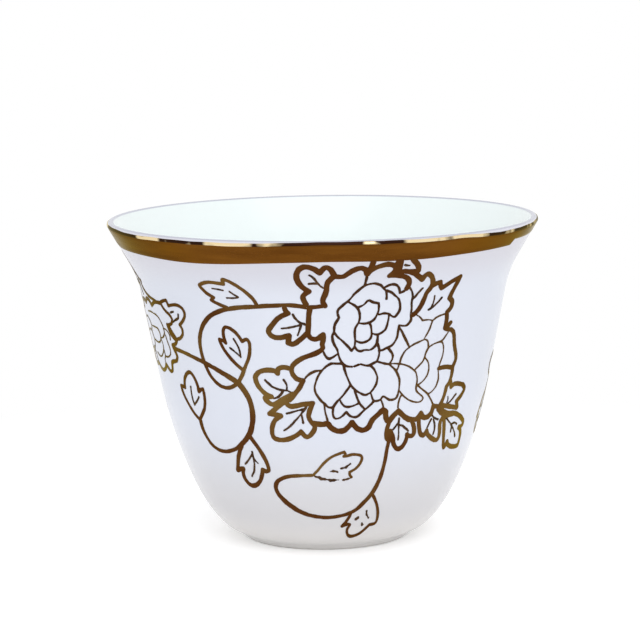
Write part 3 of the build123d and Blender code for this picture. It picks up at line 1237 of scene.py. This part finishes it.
BLOSSOMS = (
    # The upper one of the cluster
    Blossom(
        edges=(
            (
                ((1.2, 44.2), (2.0, 44.1), (2.5, 44.2), (3.1, 44.7), (3.8, 45.15), (4.5, 45.35),
                 (5.05, 45.1), (5.35, 44.4)),
                ((5.6, 44.8), (6.2, 45.25), (6.9, 45.55), (7.7, 45.75), (8.4, 45.6), (8.85, 45.15),
                 (8.8, 44.6), (8.25, 43.95)),
                ((9.0, 43.95), (9.8, 43.8), (10.5, 43.55), (11.0, 43.1), (11.2, 42.5), (11.0, 41.8)),
            ),
            (
                ((5.4, 44.5), (5.7, 45.3), (5.9, 46.2)),
            ),
            (
                ((8.85, 45.2), (8.95, 45.7), (9.05, 46.2)),
            ),
            (
                ((1.2, 44.15), (0.75, 43.7), (0.35, 43.0), (0.3, 42.2), (0.15, 41.5), (-0.15, 40.8),
                 (-0.2, 40.2), (0.1, 39.7)),
            ),
            (
                ((-1.9, 39.4), (-2.1, 38.2), (-2.15, 37.0), (-2.25, 36.0), (-2.2, 35.3), (-1.8, 34.8),
                 (-1.1, 34.75), (-0.5, 35.15), (-0.2, 35.4)),
                ((-0.2, 34.7), (-0.35, 34.0), (-0.3, 33.4), (-0.6, 33.0), (-1.3, 32.6), (-2.2, 32.25),
                 (-3.2, 31.85), (-4.1, 31.3), (-4.65, 30.7), (-4.85, 30.1), (-4.7, 29.4), (-4.3, 28.9),
                 (-3.8, 28.6), (-3.2, 28.5)),
                ((-3.5, 27.9), (-3.9, 27.2), (-4.4, 26.6), (-4.9, 26.0), (-5.4, 25.5)),
            ),
        ),
        petals=(
            ((5.2, 42.6), (4.6, 42.1), (4.0, 41.5), (3.5, 40.8), (3.1, 40.3), (2.6, 39.85), (2.0, 39.3),
             (1.75, 38.9), (1.75, 38.4), (1.95, 37.9)),
            ((1.95, 37.9), (1.6, 37.3), (1.3, 36.6), (1.25, 35.8), (1.05, 35.2), (1.1, 34.5),
             (1.35, 33.8), (1.7, 33.1), (1.85, 32.4), (2.1, 31.6), (2.5, 31.0), (3.0, 30.6),
             (3.8, 30.45)),
            ((1.25, 35.7), (1.8, 35.0), (2.5, 34.3), (3.2, 33.55), (3.75, 32.85)),
            ((3.2, 40.2), (3.8, 39.8), (4.3, 39.4), (4.6, 38.9), (4.75, 38.2), (4.75, 37.5), (4.6, 37.0),
             (4.3, 36.5), (4.15, 36.0), (4.15, 35.2), (4.2, 34.4), (4.15, 33.6), (3.75, 32.85)),
            ((4.4, 39.35), (4.9, 39.5), (5.3, 39.75), (5.6, 40.1), (5.9, 40.3), (6.3, 40.1), (6.8, 39.9),
             (7.3, 39.8)),
            ((7.3, 39.8), (7.35, 39.0), (7.2, 38.3), (6.9, 37.6), (6.4, 37.1), (5.9, 36.9), (5.3, 36.85),
             (4.65, 37.0)),
            ((6.1, 36.95), (6.35, 36.5), (6.45, 35.9), (6.5, 35.3), (6.45, 34.8), (6.2, 34.4),
             (5.8, 34.15), (5.2, 34.0), (4.7, 34.1), (4.25, 34.4)),
            ((6.5, 35.4), (6.9, 35.2), (7.4, 35.15), (8.0, 35.4), (8.5, 35.9), (8.7, 36.6), (8.8, 37.3),
             (8.85, 38.0)),
            ((7.4, 35.1), (7.4, 34.5), (7.35, 34.0), (7.6, 33.3), (7.75, 32.6), (7.7, 31.8),
             (7.45, 31.1)),
            ((4.2, 33.4), (4.5, 32.95), (5.0, 32.75), (5.6, 32.9), (6.3, 32.85), (6.8, 33.1),
             (7.2, 33.6), (7.4, 34.1)),
            ((5.35, 44.3), (5.3, 43.5), (5.2, 42.6)),
            ((5.2, 42.6), (5.8, 42.8), (6.5, 42.85), (7.2, 42.6), (7.7, 42.1), (8.1, 41.6), (8.25, 41.0),
             (8.3, 40.4)),
            ((7.9, 42.2), (8.4, 42.5), (9.0, 42.6), (9.5, 42.4), (9.9, 41.9), (10.1, 41.2)),
            ((10.1, 41.2), (10.6, 41.4), (11.0, 41.8)),
            ((8.2, 41.7), (8.8, 41.4), (9.4, 40.9), (10.0, 40.3), (10.3, 39.6), (10.4, 39.0),
             (10.3, 38.4), (9.9, 37.8), (9.6, 37.6), (9.2, 37.8), (8.8, 38.1), (8.2, 38.25),
             (7.4, 38.1)),
            ((12.15, 37.7), (12.2, 37.0), (11.9, 36.4), (11.5, 36.15), (11.0, 36.15), (10.45, 36.3)),
            ((10.45, 36.3), (10.4, 35.7), (10.35, 35.0), (10.2, 34.3), (9.9, 33.7), (9.5, 33.3),
             (8.9, 33.0)),
            ((10.5, 36.0), (11.0, 35.2), (11.5, 34.3), (12.0, 33.4), (12.35, 32.8)),
            ((-0.3, 33.1), (0.0, 32.3), (0.4, 31.8), (0.8, 31.8), (1.3, 32.1), (1.8, 32.5)),
            ((4.2, 30.5), (4.5, 30.6), (4.8, 30.7)),
            ((5.1, 30.75), (5.6, 30.6), (6.2, 30.5), (6.7, 30.7), (7.5, 31.1)),
        ),
        edge_line=0.74,
        petal_line=0.35,
    ),
    # The lower left one
    Blossom(
        edges=(
            (
                ((-1.9, 21.95), (-1.2, 21.8), (-0.4, 21.75), (0.2, 21.85), (0.7, 21.3), (1.3, 20.85),
                 (2.0, 20.65), (2.8, 20.75), (3.4, 21.2), (4.0, 21.95)),
                ((4.4, 21.4), (4.9, 20.95), (5.6, 20.65), (6.2, 20.75), (6.7, 21.1), (6.95, 21.7),
                 (7.3, 22.25), (7.9, 22.75), (8.8, 23.6)),
                ((9.25, 23.3), (9.3, 22.8), (9.45, 22.2), (9.75, 21.8), (10.1, 21.7)),
                ((10.5, 22.4), (11.4, 23.2)),
                ((11.9, 22.8), (12.6, 22.2), (13.4, 21.75), (14.2, 21.6), (14.9, 21.65), (15.6, 22.35)),
                ((15.9, 21.9), (16.4, 21.65), (17.0, 21.7), (17.5, 22.0), (17.8, 22.5), (17.9, 23.2)),
            ),
        ),
        petals=(
            ((-3.1, 28.6), (-2.5, 29.3), (-1.9, 29.7), (-1.2, 29.95), (-0.5, 30.0)),
            ((2.4, 31.0), (1.6, 31.0), (0.9, 31.0), (0.3, 30.7), (-0.3, 30.2), (-0.9, 29.4),
             (-1.3, 28.5), (-1.55, 27.6), (-1.5, 26.8), (-1.2, 26.1), (-0.7, 25.4), (-0.1, 24.9),
             (0.3, 24.45), (0.8, 24.3), (1.15, 24.4)),
            ((2.6, 30.9), (2.75, 30.2), (3.0, 29.3), (3.3, 28.5), (3.7, 27.7), (4.2, 27.1), (4.8, 26.6),
             (5.4, 26.25), (6.0, 26.05), (6.7, 26.35)),
            ((3.65, 27.7), (3.2, 27.0), (2.7, 26.3), (2.1, 25.6), (1.6, 25.1), (1.2, 24.5), (1.05, 23.8),
             (1.1, 23.1), (1.4, 22.65), (1.9, 22.65), (2.4, 22.9), (3.1, 23.55)),
            ((3.1, 23.55), (3.5, 23.1), (4.0, 22.8), (4.6, 22.75), (5.2, 23.1), (5.7, 23.6), (6.3, 24.1),
             (6.9, 24.6), (7.3, 25.1)),
            ((2.15, 25.4), (2.4, 24.9), (2.9, 24.45), (3.5, 24.35), (4.2, 24.5), (4.9, 24.8)),
            ((4.25, 27.0), (4.5, 26.2), (4.8, 25.4), (5.1, 24.8), (5.5, 24.3), (6.0, 23.85)),
            ((-0.2, 24.8), (-0.1, 23.8), (0.1, 22.9), (0.3, 22.0)),
            ((6.5, 30.5), (7.0, 30.0), (7.4, 29.3), (7.65, 28.6), (7.55, 27.8), (7.3, 27.2),
             (7.05, 26.8), (6.7, 26.4)),
            ((6.7, 26.4), (6.9, 25.8), (7.1, 25.3), (7.4, 25.05), (8.0, 25.05), (8.35, 25.2)),
            ((8.35, 25.25), (8.6, 24.7), (8.8, 24.2), (8.8, 23.7)),
            ((7.5, 31.05), (8.2, 30.8), (8.9, 30.6), (9.4, 30.45), (9.9, 30.0), (10.5, 29.4),
             (10.85, 28.8), (11.1, 28.2), (11.2, 27.5), (11.2, 26.6), (11.1, 25.8), (10.8, 25.2),
             (10.3, 25.0), (9.8, 25.05), (9.3, 25.3), (8.9, 25.6), (8.6, 25.6), (8.35, 25.2)),
            ((7.7, 32.7), (8.2, 32.7), (8.9, 33.0), (9.5, 32.4), (9.8, 31.8), (9.75, 31.2), (9.4, 30.5)),
        ),
        edge_line=0.86,
        petal_line=0.35,
    ),
    # The lower right one
    Blossom(
        edges=(
            (
                ((18.2, 37.5), (18.3, 36.9), (18.35, 36.2), (18.2, 35.1)),
                ((18.8, 34.8), (19.5, 34.7), (20.1, 34.2), (20.4, 33.4), (20.6, 32.5), (20.9, 31.6),
                 (21.3, 30.7), (21.45, 29.9), (21.2, 29.3), (21.0, 28.8), (21.05, 28.0), (20.95, 27.2),
                 (20.7, 26.4)),
            ),
            (
                ((18.6, 35.1), (19.2, 35.8)),
            ),
            (
                ((18.0, 29.0), (18.8, 29.05), (19.7, 29.0), (20.5, 28.85), (21.0, 28.7)),
            ),
            (
                ((20.7, 26.4), (20.2, 25.9), (20.1, 25.2), (19.9, 24.4), (19.6, 23.7), (19.2, 23.1)),
            ),
            (
                ((19.0, 22.6), (20.2, 21.7), (21.4, 21.3), (23.0, 21.3)),
            ),
        ),
        petals=(
            ((9.4, 30.5), (10.0, 30.55), (10.8, 30.45), (11.5, 30.3), (12.3, 30.0), (13.0, 29.6),
             (13.5, 29.15)),
            ((10.9, 30.4), (10.8, 29.9), (10.6, 29.5)),
            ((11.0, 30.6), (11.2, 31.4), (11.5, 32.0), (11.9, 32.5), (12.4, 32.85), (13.0, 33.2),
             (13.6, 33.4)),
            ((13.6, 33.4), (14.2, 33.6), (14.8, 33.75), (15.3, 33.5), (15.5, 33.0), (15.6, 32.4)),
            ((13.5, 29.2), (14.2, 29.8), (14.8, 30.4), (15.1, 31.0), (15.2, 31.6), (15.6, 32.4),
             (16.3, 32.8), (17.0, 33.0), (17.7, 33.1), (18.1, 32.9), (18.4, 32.3), (18.5, 31.5),
             (18.4, 30.6), (18.1, 29.7), (17.95, 28.9), (18.1, 28.1), (18.2, 27.3), (18.0, 26.5),
             (17.6, 25.9), (17.1, 25.5), (16.6, 25.3)),
            ((15.1, 31.0), (15.7, 30.4), (16.0, 29.8), (16.1, 29.0), (15.9, 28.2), (15.5, 27.6),
             (15.0, 27.2), (14.4, 26.9)),
            ((13.5, 29.2), (13.8, 28.9), (14.05, 28.3), (14.2, 27.6), (14.15, 26.9), (14.15, 26.3),
             (14.35, 25.9), (14.8, 25.5), (15.3, 25.15), (15.6, 24.75), (15.4, 24.35), (14.9, 24.2),
             (14.2, 24.3), (13.3, 24.6), (12.5, 25.1), (11.8, 25.7), (11.2, 26.4)),
            ((14.3, 26.95), (14.8, 26.5), (15.4, 26.05), (16.0, 25.65), (16.5, 25.2), (17.0, 24.6),
             (17.5, 23.9), (17.9, 23.3)),
            ((11.4, 23.3), (11.25, 24.0), (11.35, 24.7), (11.5, 25.3), (11.8, 25.7)),
            ((15.8, 36.5), (15.6, 35.9), (15.4, 35.2), (15.1, 34.6), (14.8, 34.1), (14.7, 33.8)),
            ((19.0, 34.4), (18.6, 33.9), (18.2, 33.4), (17.7, 33.1)),
            ((12.7, 37.75), (13.4, 37.4), (14.1, 36.7)),
            ((14.1, 36.7), (14.8, 36.7), (15.3, 36.65), (15.8, 36.5)),
            ((15.8, 36.5), (16.3, 36.85), (17.0, 37.1), (17.7, 37.25), (18.2, 37.4)),
        ),
        edge_line=0.7,
        petal_line=0.27,
    ),
    # The small one
    Blossom(
        edges=(
            (
                ((-24.7, 33.1), (-25.2, 32.5), (-26.2, 32.1)),
                ((-26.0, 31.6), (-25.65, 31.0), (-25.5, 30.4), (-25.9, 29.8), (-26.7, 29.6)),
                ((-27.5, 29.3), (-27.7, 28.7), (-27.9, 28.1), (-28.4, 27.8), (-29.0, 27.95),
                 (-30.0, 28.7)),
                ((-30.6, 28.0), (-31.4, 27.6), (-32.3, 27.5), (-33.2, 27.75), (-34.4, 28.4)),
                ((-35.2, 28.0), (-36.3, 28.1), (-37.0, 28.8), (-37.2, 30.0)),
                ((-38.2, 30.4), (-38.8, 31.4), (-38.6, 32.6), (-38.0, 33.4)),
                ((-38.8, 34.2), (-38.8, 35.4), (-38.0, 36.4), (-36.8, 36.8)),
                ((-36.4, 37.6), (-35.2, 38.1), (-34.0, 37.7)),
                ((-33.0, 38.4), (-31.8, 38.3), (-31.0, 37.6)),
                ((-29.6, 38.3), (-28.2, 38.4), (-27.3, 38.4)),
            ),
            (
                ((-26.6, 35.2), (-26.1, 34.0), (-25.4, 33.3), (-24.7, 33.1)),
            ),
        ),
        petals=(
            ((-33.6, 36.4), (-32.4, 36.5), (-31.0, 36.4), (-30.0, 36.3), (-29.2, 36.0), (-28.6, 35.4),
             (-28.2, 34.8), (-28.1, 34.3)),
            ((-28.2, 34.4), (-27.5, 34.4), (-26.9, 34.1), (-26.5, 33.5), (-26.6, 32.9)),
            ((-33.0, 34.2), (-31.5, 34.2), (-30.5, 34.1), (-30.0, 33.6), (-29.9, 33.0), (-30.1, 32.6)),
            ((-30.0, 32.7), (-29.2, 32.9), (-28.6, 33.2), (-28.1, 33.8), (-28.1, 34.4)),
            ((-33.6, 32.1), (-32.4, 31.9), (-31.2, 31.9), (-30.3, 32.3), (-29.9, 32.9)),
            ((-29.6, 30.0), (-28.8, 29.95), (-28.0, 30.2), (-27.4, 30.7), (-27.3, 31.5), (-27.6, 32.3),
             (-27.9, 33.4)),
            ((-33.4, 30.0), (-32.2, 29.6), (-31.2, 29.8), (-30.3, 30.4), (-29.7, 31.0), (-29.6, 30.0)),
            ((-29.7, 31.0), (-29.6, 31.8), (-29.9, 32.6)),
            ((-36.6, 35.2), (-35.6, 35.4), (-34.4, 35.0), (-33.6, 34.2), (-34.2, 33.2), (-33.6, 32.1)),
            ((-36.8, 33.0), (-35.6, 33.4), (-34.2, 33.2)),
            ((-36.4, 30.4), (-35.2, 30.4), (-34.2, 31.0), (-33.6, 32.1)),
            ((-34.4, 28.4), (-34.6, 29.4), (-35.2, 30.4)),
            ((-30.0, 28.7), (-30.1, 29.4), (-29.6, 30.0)),
        ),
        edge_line=0.62,
        petal_line=0.25,
    ),
)


def cornered(runs: tuple[Run, ...]) -> np.ndarray:
    """A line of smooth runs that meet in corners.

    Args:
        runs: The runs' places. Each run after the first goes on from where the last one ended.

    Returns:
        The line's points.
    """
    line = np.empty((0, 2))
    for run in runs:
        line = np.vstack([line, smooth_line((*line[-1:], *run))])
    return line


class Sheet:
    """A flat sheet that strokes are drawn on.

    Each kind of stroke has a field, which is below zero where its gold lies.
    """

    FAR = 9.0   # a field's value away from every stroke
    # A hand's uneven pressure, in long swells and shorter ones: their strength, and two waves that cross.
    # A wave is its turn for each millimetre round the wall and up it, and where it begins, all in radians.
    SWELLS = (
        (1.0, (2.1, 0.7, 0.4), (-0.9, 1.3, 2.0)),
        (0.6, (5.3, -3.1, 0.0), (2.7, 4.4, 1.0)),
    )

    def __init__(self, low: Point, high: Point, step: float) -> None:
        """Lays out an empty sheet.

        Args:
            low: Its lowest corner, as way round and height.
            high: Its highest corner.
            step: The spacing of the fields' values.
        """
        self.low = np.array(low, float)
        self.step = step
        self.s, self.z = np.meshgrid(np.arange(low[0], high[0], step), np.arange(low[1], high[1], step))
        self.fields = {ink: np.full(self.s.shape, self.FAR) for ink in Ink}
        self.pressure = sum(strength * (self.wave(*one) * self.wave(*other))
                            for strength, one, other in self.SWELLS)

    def wave(self, aside: float, upwards: float, start: float) -> np.ndarray:
        """A wave over the sheet, by its turn for each millimetre and where it begins."""
        return np.sin(aside * self.s + upwards * self.z + start)

    def window(self, line: np.ndarray, room: float) -> tuple[slice, slice]:
        """The part of the sheet that a line and the room about it cover.

        Args:
            line: The line's points.
            room: The room on every side.

        Returns:
            The rows and the columns.
        """
        first = np.floor((line.min(axis=0) - room - self.low) / self.step).astype(int)
        last = np.ceil((line.max(axis=0) + room - self.low) / self.step).astype(int) + 1
        first = np.maximum(first, 0)
        return slice(first[1], last[1]), slice(first[0], last[0])

    def stroke(self, ink: Ink, line: np.ndarray, widths: tuple[float, ...], waver: float = 0.1) -> None:
        """Draws a line.

        Args:
            ink: The kind of stroke.
            line: Its points.
            widths: Its width at even steps along it.
            waver: How much the hand's pressure changes the width.
        """
        way = np.cumsum(np.hypot(*np.diff(line, axis=0, prepend=line[:1]).T))
        reach = np.interp(way / way[-1], np.linspace(0, 1, len(widths)), widths) / 2
        window = self.window(line, max(widths))
        s, z, swell = self.s[window], self.z[window], 1 + waver * self.pressure[window]
        drawn = self.fields[ink][window]
        for start, end, start_reach, end_reach in zip(line, line[1:], reach, reach[1:]):
            ds, dz = end - start
            share = ((s - start[0]) * ds + (z - start[1]) * dz) / max(ds * ds + dz * dz, TINY)
            share = np.clip(share, 0, 1)
            off = np.hypot(s - start[0] - share * ds, z - start[1] - share * dz)
            np.minimum(drawn, off - swell * (start_reach + share * (end_reach - start_reach)), out=drawn)


def outlines(field_values: np.ndarray, low: np.ndarray, step: float) -> list[np.ndarray]:
    """Closed lines along which a field is zero.

    Args:
        field_values: The field, which is positive all along the sheet's edge.
        low: The sheet's lowest corner.
        step: The spacing of the values.

    Returns:
        The loops, each an array of points.
    """
    below = field_values < 0
    mixed = below[:-1, :-1].astype(int) + below[:-1, 1:] + below[1:, :-1] + below[1:, 1:]
    rows, columns = np.nonzero((mixed > 0) & (mixed < 4))
    joined: dict[Side, list[Side]] = {}
    for row, column in zip(rows.tolist(), columns.tolist()):
        corners = ((row, column), (row, column + 1), (row + 1, column + 1), (row + 1, column))
        sides = [(corners[k], corners[(k + 1) % 4]) for k in range(4)]
        cut = [tuple(sorted(side)) for side in sides if below[side[0]] != below[side[1]]]
        # Where all four sides are cut, each pair cuts off one of the two corners that differ from the middle
        if len(cut) == 4:
            middle_below = sum(field_values[corner] for corner in corners) < 0
            if middle_below == below[corners[0]]:
                cut = cut[1:] + cut[:1]
        for first, second in zip(cut[::2], cut[1::2]):
            joined.setdefault(first, []).append(second)
            joined.setdefault(second, []).append(first)
    loops = []
    while joined:
        loop, here = [], next(iter(joined))
        while here in joined:
            loop.append(here)
            ahead = joined.pop(here)
            here = ahead[0] if ahead[0] in joined else ahead[1]
        loops.append(np.array([crossing(field_values, side) for side in loop])[:, ::-1] * step + low)
    return loops


def crossing(field_values: np.ndarray, side: Side) -> Point:
    """Where a field is zero between two neighbouring values.

    Args:
        field_values: The field.
        side: The two values' places.

    Returns:
        The row and the column.
    """
    first, second = side
    share = field_values[first] / (field_values[first] - field_values[second])
    return first[0] + share * (second[0] - first[0]), first[1] + share * (second[1] - first[1])


def thinned(loop: np.ndarray, slack: float, longest: int) -> np.ndarray:
    """Leaves out points of a loop that lie on the line between their neighbours.

    Args:
        loop: The loop's points.
        slack: How far a point may lie off that line.
        longest: The most points that one straight stretch may replace.

    Returns:
        The points that are left.
    """
    kept, here, count = [], 0, len(loop)
    while here < count:
        kept.append(here)
        ahead = here + 1
        while ahead - here < longest and ahead + 1 <= count:
            start, end = loop[here], loop[(ahead + 1) % count]
            chord = end - start
            span = loop[here + 1:ahead + 1] - start
            off = np.abs(span[:, 0] * chord[1] - span[:, 1] * chord[0]) / max(np.hypot(*chord), TINY)
            if off.max() > slack:
                break
            ahead += 1
        here = ahead
    return loop[kept]


def filled(loops: list[np.ndarray]) -> tuple[np.ndarray, Faces, list[tuple[int, int]]]:
    """Triangles of the area between nested loops.

    Args:
        loops: The loops.

    Returns:
        The points, the triangles, and the triangles' outer edges in turning order.
    """
    points, edges = [], []
    for loop in loops:
        first, count = len(points), len(loop)
        points += [Vector(point) for point in loop]
        edges += [(first + k, first + (k + 1) % count) for k in range(count)]
    placed, sides, triangles, _, came_from, _ = delaunay_2d_cdt(points, edges, [], EVERY_TRIANGLE, SAME_PLACE)
    drawn = {tuple(sorted(side)) for side, source in zip(sides, came_from) if source}
    beside: dict[tuple[int, int], list[int]] = {}
    for number, corners in enumerate(triangles):
        for k in range(3):
            beside.setdefault(tuple(sorted((corners[k], corners[(k + 1) % 3]))), []).append(number)
    # From the outermost triangles inwards, each drawn line that is crossed changes between outside and inside
    inside: dict[int, bool] = {}
    waiting = [(owners[0], side in drawn) for side, owners in beside.items() if len(owners) == 1]
    while waiting:
        number, within = waiting.pop()
        if number in inside:
            continue
        inside[number] = within
        corners = triangles[number]
        for k in range(3):
            side = tuple(sorted((corners[k], corners[(k + 1) % 3])))
            for other in beside[side]:
                if other not in inside:
                    waiting.append((other, within != (side in drawn)))
    kept = [tuple(corners) for number, corners in enumerate(triangles) if inside[number]]
    directed = {(corners[k], corners[(k + 1) % 3]) for corners in kept for k in range(3)}
    rim = [(a, b) for a, b in directed if (b, a) not in directed]
    return np.array([tuple(point) for point in placed]), kept, rim


@dataclass
class Spray:
    """The gilded flower spray, drawn once and laid on the front and the back of the cup."""

    section: CupSection
    unrolled_radius: float = 26.0      # radius at which the sheet is wrapped round the cup
    sheet_low: Point = (-51.0, 1.4)    # the sheet's lowest corner
    sheet_high: Point = (30.0, 48.5)   # its highest corner
    step: float = 0.08                 # spacing at which the drawing is worked out
    slack: float = 0.012               # how far its outlines may be straightened
    longest: int = 12                  # most points that are straightened into one stretch
    speck: int = 8                     # outlines of no more points than this are left out
    film: float = 0.04                 # height of the gold above the glaze
    sink: float = 0.03                 # how deep it reaches into the glaze
    crease: float = 40.0               # angle past which the film's edges stay sharp
    shift: Point = (0.1, -0.14)        # where the drawing's zero lies on the wall
    petal_waver: float = 0.25          # how unevenly the petal lines are drawn
    # Bold strokes, full gold in some stretches and brown in others
    bold: FiredGold = FiredGold("gold_drawn_bold_fired", "#70562A", "#522F10", streak=12.0, draw=1.0,
                                start=20820.0, filling=(0.42, 0.69))
    # Thin veins, greyish brown because so little gold lies in them
    fine: FiredGold = FiredGold("gold_drawn_fine_fired", "#513A26", "#382618", streak=1.2, draw=1.0)
    # Petal lines, brown in long stretches and more golden between them
    petal: FiredGold = FiredGold("gold_drawn_petals_fired", "#5C4220", "#432A18", streak=22.0, draw=1.0,
                                 start=34941.0, filling=(0.44, 0.64))

    def draw(self) -> Sheet:
        """Draws the spray on a flat sheet.

        Returns:
            The sheet.
        """
        sheet = Sheet(self.sheet_low, self.sheet_high, self.step)
        for stem in STEMS:
            sheet.stroke(Ink.STEMS, smooth_line(stem.places), stem.widths)
        for leaf in LEAVES:
            sheet.stroke(Ink.LEAVES, cornered(leaf.outline), (leaf.line,))
            for vein in leaf.veins:
                sheet.stroke(Ink.VEINS, smooth_line(vein), (leaf.vein_line,), leaf.vein_waver)
        for blossom in BLOSSOMS:
            for edge in blossom.edges:
                sheet.stroke(Ink.CONTOURS, cornered(edge), (blossom.edge_line,))
            for petal in blossom.petals:
                sheet.stroke(Ink.PETALS, smooth_line(petal), (blossom.petal_line,), self.petal_waver)
        taken = np.full(sheet.s.shape, -Sheet.FAR)
        for ink in CROSSING_ORDER:
            own = sheet.fields[ink]
            sheet.fields[ink] = np.maximum(own, taken)
            taken = np.maximum(taken, -own)
        return sheet

    def build(self) -> list[bpy.types.Object]:
        """Lays the drawing on the glaze, twice.

        Returns:
            The pieces.
        """
        sheet = self.draw()
        bold = self.bold.make()
        finishes = {Ink.VEINS: self.fine.make(), Ink.PETALS: self.petal.make()}
        pieces = []
        for ink in Ink:
            front = self.lay(f"front_{ink.value}", sheet, ink, finishes.get(ink, bold))
            rear = bpy.data.objects.new(f"rear_{ink.value}", front.data.copy())
            rear.data.transform(Matrix.Rotation(math.pi, 4, "Z"))
            bpy.context.scene.collection.objects.link(rear)
            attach(rear, "root")
            pieces += [front, rear]
        return pieces

    def lay(self, name: str, sheet: Sheet, ink: Ink, finish: bpy.types.Material) -> bpy.types.Object:
        """Makes one kind of stroke a thin closed film on the wall.

        Args:
            name: The piece's name.
            sheet: The drawing.
            ink: The kind of stroke.
            finish: The gilding's material.

        Returns:
            The piece.
        """
        drawn = outlines(sheet.fields[ink], sheet.low, sheet.step)
        loops = [thinned(loop, self.slack, self.longest) for loop in drawn if len(loop) > self.speck]
        points, triangles, rim = filled(loops)
        points += self.shift
        turn = points[:, 0] / self.unrolled_radius
        radii, facing = self.section.wall_at(points[:, 1])
        round_wall = np.stack([np.sin(turn), -np.cos(turn)], axis=1)
        normals = np.column_stack([round_wall * facing[:, :1], facing[:, 1]])
        wall = np.column_stack([round_wall * radii[:, None], points[:, 1]])
        vertices = np.vstack([wall + normals * self.film, wall - normals * self.sink])
        count = len(points)
        faces = list(triangles)
        faces += [(a + count, c + count, b + count) for a, b, c in triangles]
        faces += [(b, a, a + count, b + count) for a, b in rim]
        return add_mesh(name, vertices, faces, finish, self.crease)


@dataclass(frozen=True)
class Softbox:
    """A square lamp that gives soft light."""

    name: str
    place: tuple[float, float, float]
    side: float = 700.0
    power: float = 2.0   # watts

    def hang(self, target: Vector) -> None:
        """Hangs the lamp so that it faces a place.

        Args:
            target: The place, in metres.
        """
        data = bpy.data.lights.new(self.name, "AREA")
        data.size = self.side * MM
        data.energy = self.power
        lamp = bpy.data.objects.new(self.name, data)
        lamp.location = Vector(self.place) * MM
        aim = target - lamp.location
        lamp.rotation_euler = aim.to_track_quat("-Z", "Y").to_euler()
        bpy.context.scene.collection.objects.link(lamp)


@dataclass
class Studio:
    """A white sheet, soft lamps and the camera."""

    cup_height: float
    distance: float = 400.0            # from the camera to the middle of the cup
    elevation: float = 9.72            # of the camera, as an angle above the level
    focal: float = 2584.0              # focal length in pixels of the image
    middle_at: Point = (324.6, 374.9)  # pixel of the middle of the cup
    roll: float = 0.85                 # tilt of the camera about its own line of sight
    sensor: float = 36.0               # width of the camera's sensor
    clip: Point = (10.0, 50000.0)      # nearest and farthest that the camera sees
    sheet_radius: float = 6000.0       # of the paper on the floor
    sheet_sides: int = 96
    daylight: float = 0.81             # strength of the even light of the room
    paper: StudioPaper = StudioPaper()
    lamps: tuple[Softbox, ...] = (
        Softbox("top_softbox", (40.0, -160.0, 900.0)),
        Softbox("front_softbox", (160.0, -900.0, 550.0)),
    )

    def build(self) -> None:
        """Sets up the floor, the light and the camera."""
        self.floor()
        self.world()
        for lamp in self.lamps:
            lamp.hang(Vector((0, 0, self.cup_height / 2 * MM)))
        self.camera()

    def floor(self) -> None:
        """Lays the white sheet under the cup."""
        turn = np.linspace(0, 2 * math.pi, self.sheet_sides, endpoint=False)
        rim = np.stack([np.cos(turn), np.sin(turn), 0 * turn], axis=1) * self.sheet_radius
        mesh = bpy.data.meshes.new("floor")
        mesh.from_pydata((rim * MM).tolist(), [], [tuple(range(len(turn)))])
        mesh.materials.append(self.paper.make())
        sheet = bpy.data.objects.new("floor", mesh)
        bpy.context.scene.collection.objects.link(sheet)

    def world(self) -> None:
        """Fills the room with even light, which the camera and mirrors see as white."""
        world = bpy.data.worlds.new("studio")
        world.use_nodes = True
        tree = world.node_tree
        tree.nodes.clear()
        level = add_node(tree, "ShaderNodeMapRange", {"To Min": self.daylight, "To Max": 1.0},
                         {"Value": seen_directly(tree)})
        light = add_node(tree, "ShaderNodeBackground", {"Color": (1.0, 1.0, 1.0, 1.0)},
                         {"Strength": level.outputs["Result"]})
        add_node(tree, "ShaderNodeOutputWorld", links={"Surface": light.outputs["Background"]})
        bpy.context.scene.world = world

    def camera(self) -> None:
        """Sets the camera where the photograph was taken from."""
        rise, tilt = math.radians(self.elevation), math.radians(self.roll)
        ahead = Vector((0, math.cos(rise), -math.sin(rise)))
        level, upright = Vector((1, 0, 0)), Vector((0, math.sin(rise), math.cos(rise)))
        right = level * math.cos(tilt) - upright * math.sin(tilt)
        up = level * math.sin(tilt) + upright * math.cos(tilt)
        aside, below = (pixel - IMAGE_SIDE / 2 for pixel in self.middle_at)
        back = -(ahead * self.focal - right * aside + up * below).normalized()
        right = up.cross(back).normalized()
        up = back.cross(right)
        data = bpy.data.cameras.new("camera")
        data.sensor_width = self.sensor
        data.lens = self.focal * self.sensor / IMAGE_SIDE
        data.clip_start, data.clip_end = (reach * MM for reach in self.clip)
        camera = bpy.data.objects.new("camera", data)
        place = (Vector((0, 0, self.cup_height / 2)) - ahead * self.distance) * MM
        camera.matrix_world = Matrix.Translation(place) @ Matrix((right, up, back)).transposed().to_4x4()
        bpy.context.scene.collection.objects.link(camera)
        bpy.context.scene.camera = camera


def main() -> None:
    """Builds the cup's pieces in order, then the studio."""
    logging.basicConfig(level=logging.INFO, format="%(name)s: %(message)s")
    bpy.context.scene.view_settings.view_transform = "Standard"
    rim_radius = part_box("gilt_rim_band")[1].x / MM
    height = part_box("glaze_coat")[1].z / MM
    section = CupSection(rim_radius, height)
    lathe = Lathe()
    pieces = Cup(section, lathe).build()
    pieces += RimGilding(section, lathe).build()
    pieces += Spray(section).build()
    for piece in pieces:
        log.info("%s: %d faces", piece.name, len(piece.data.polygons))
    Studio(cup_height=section.height).build()


if __name__ == "__main__":
    main()
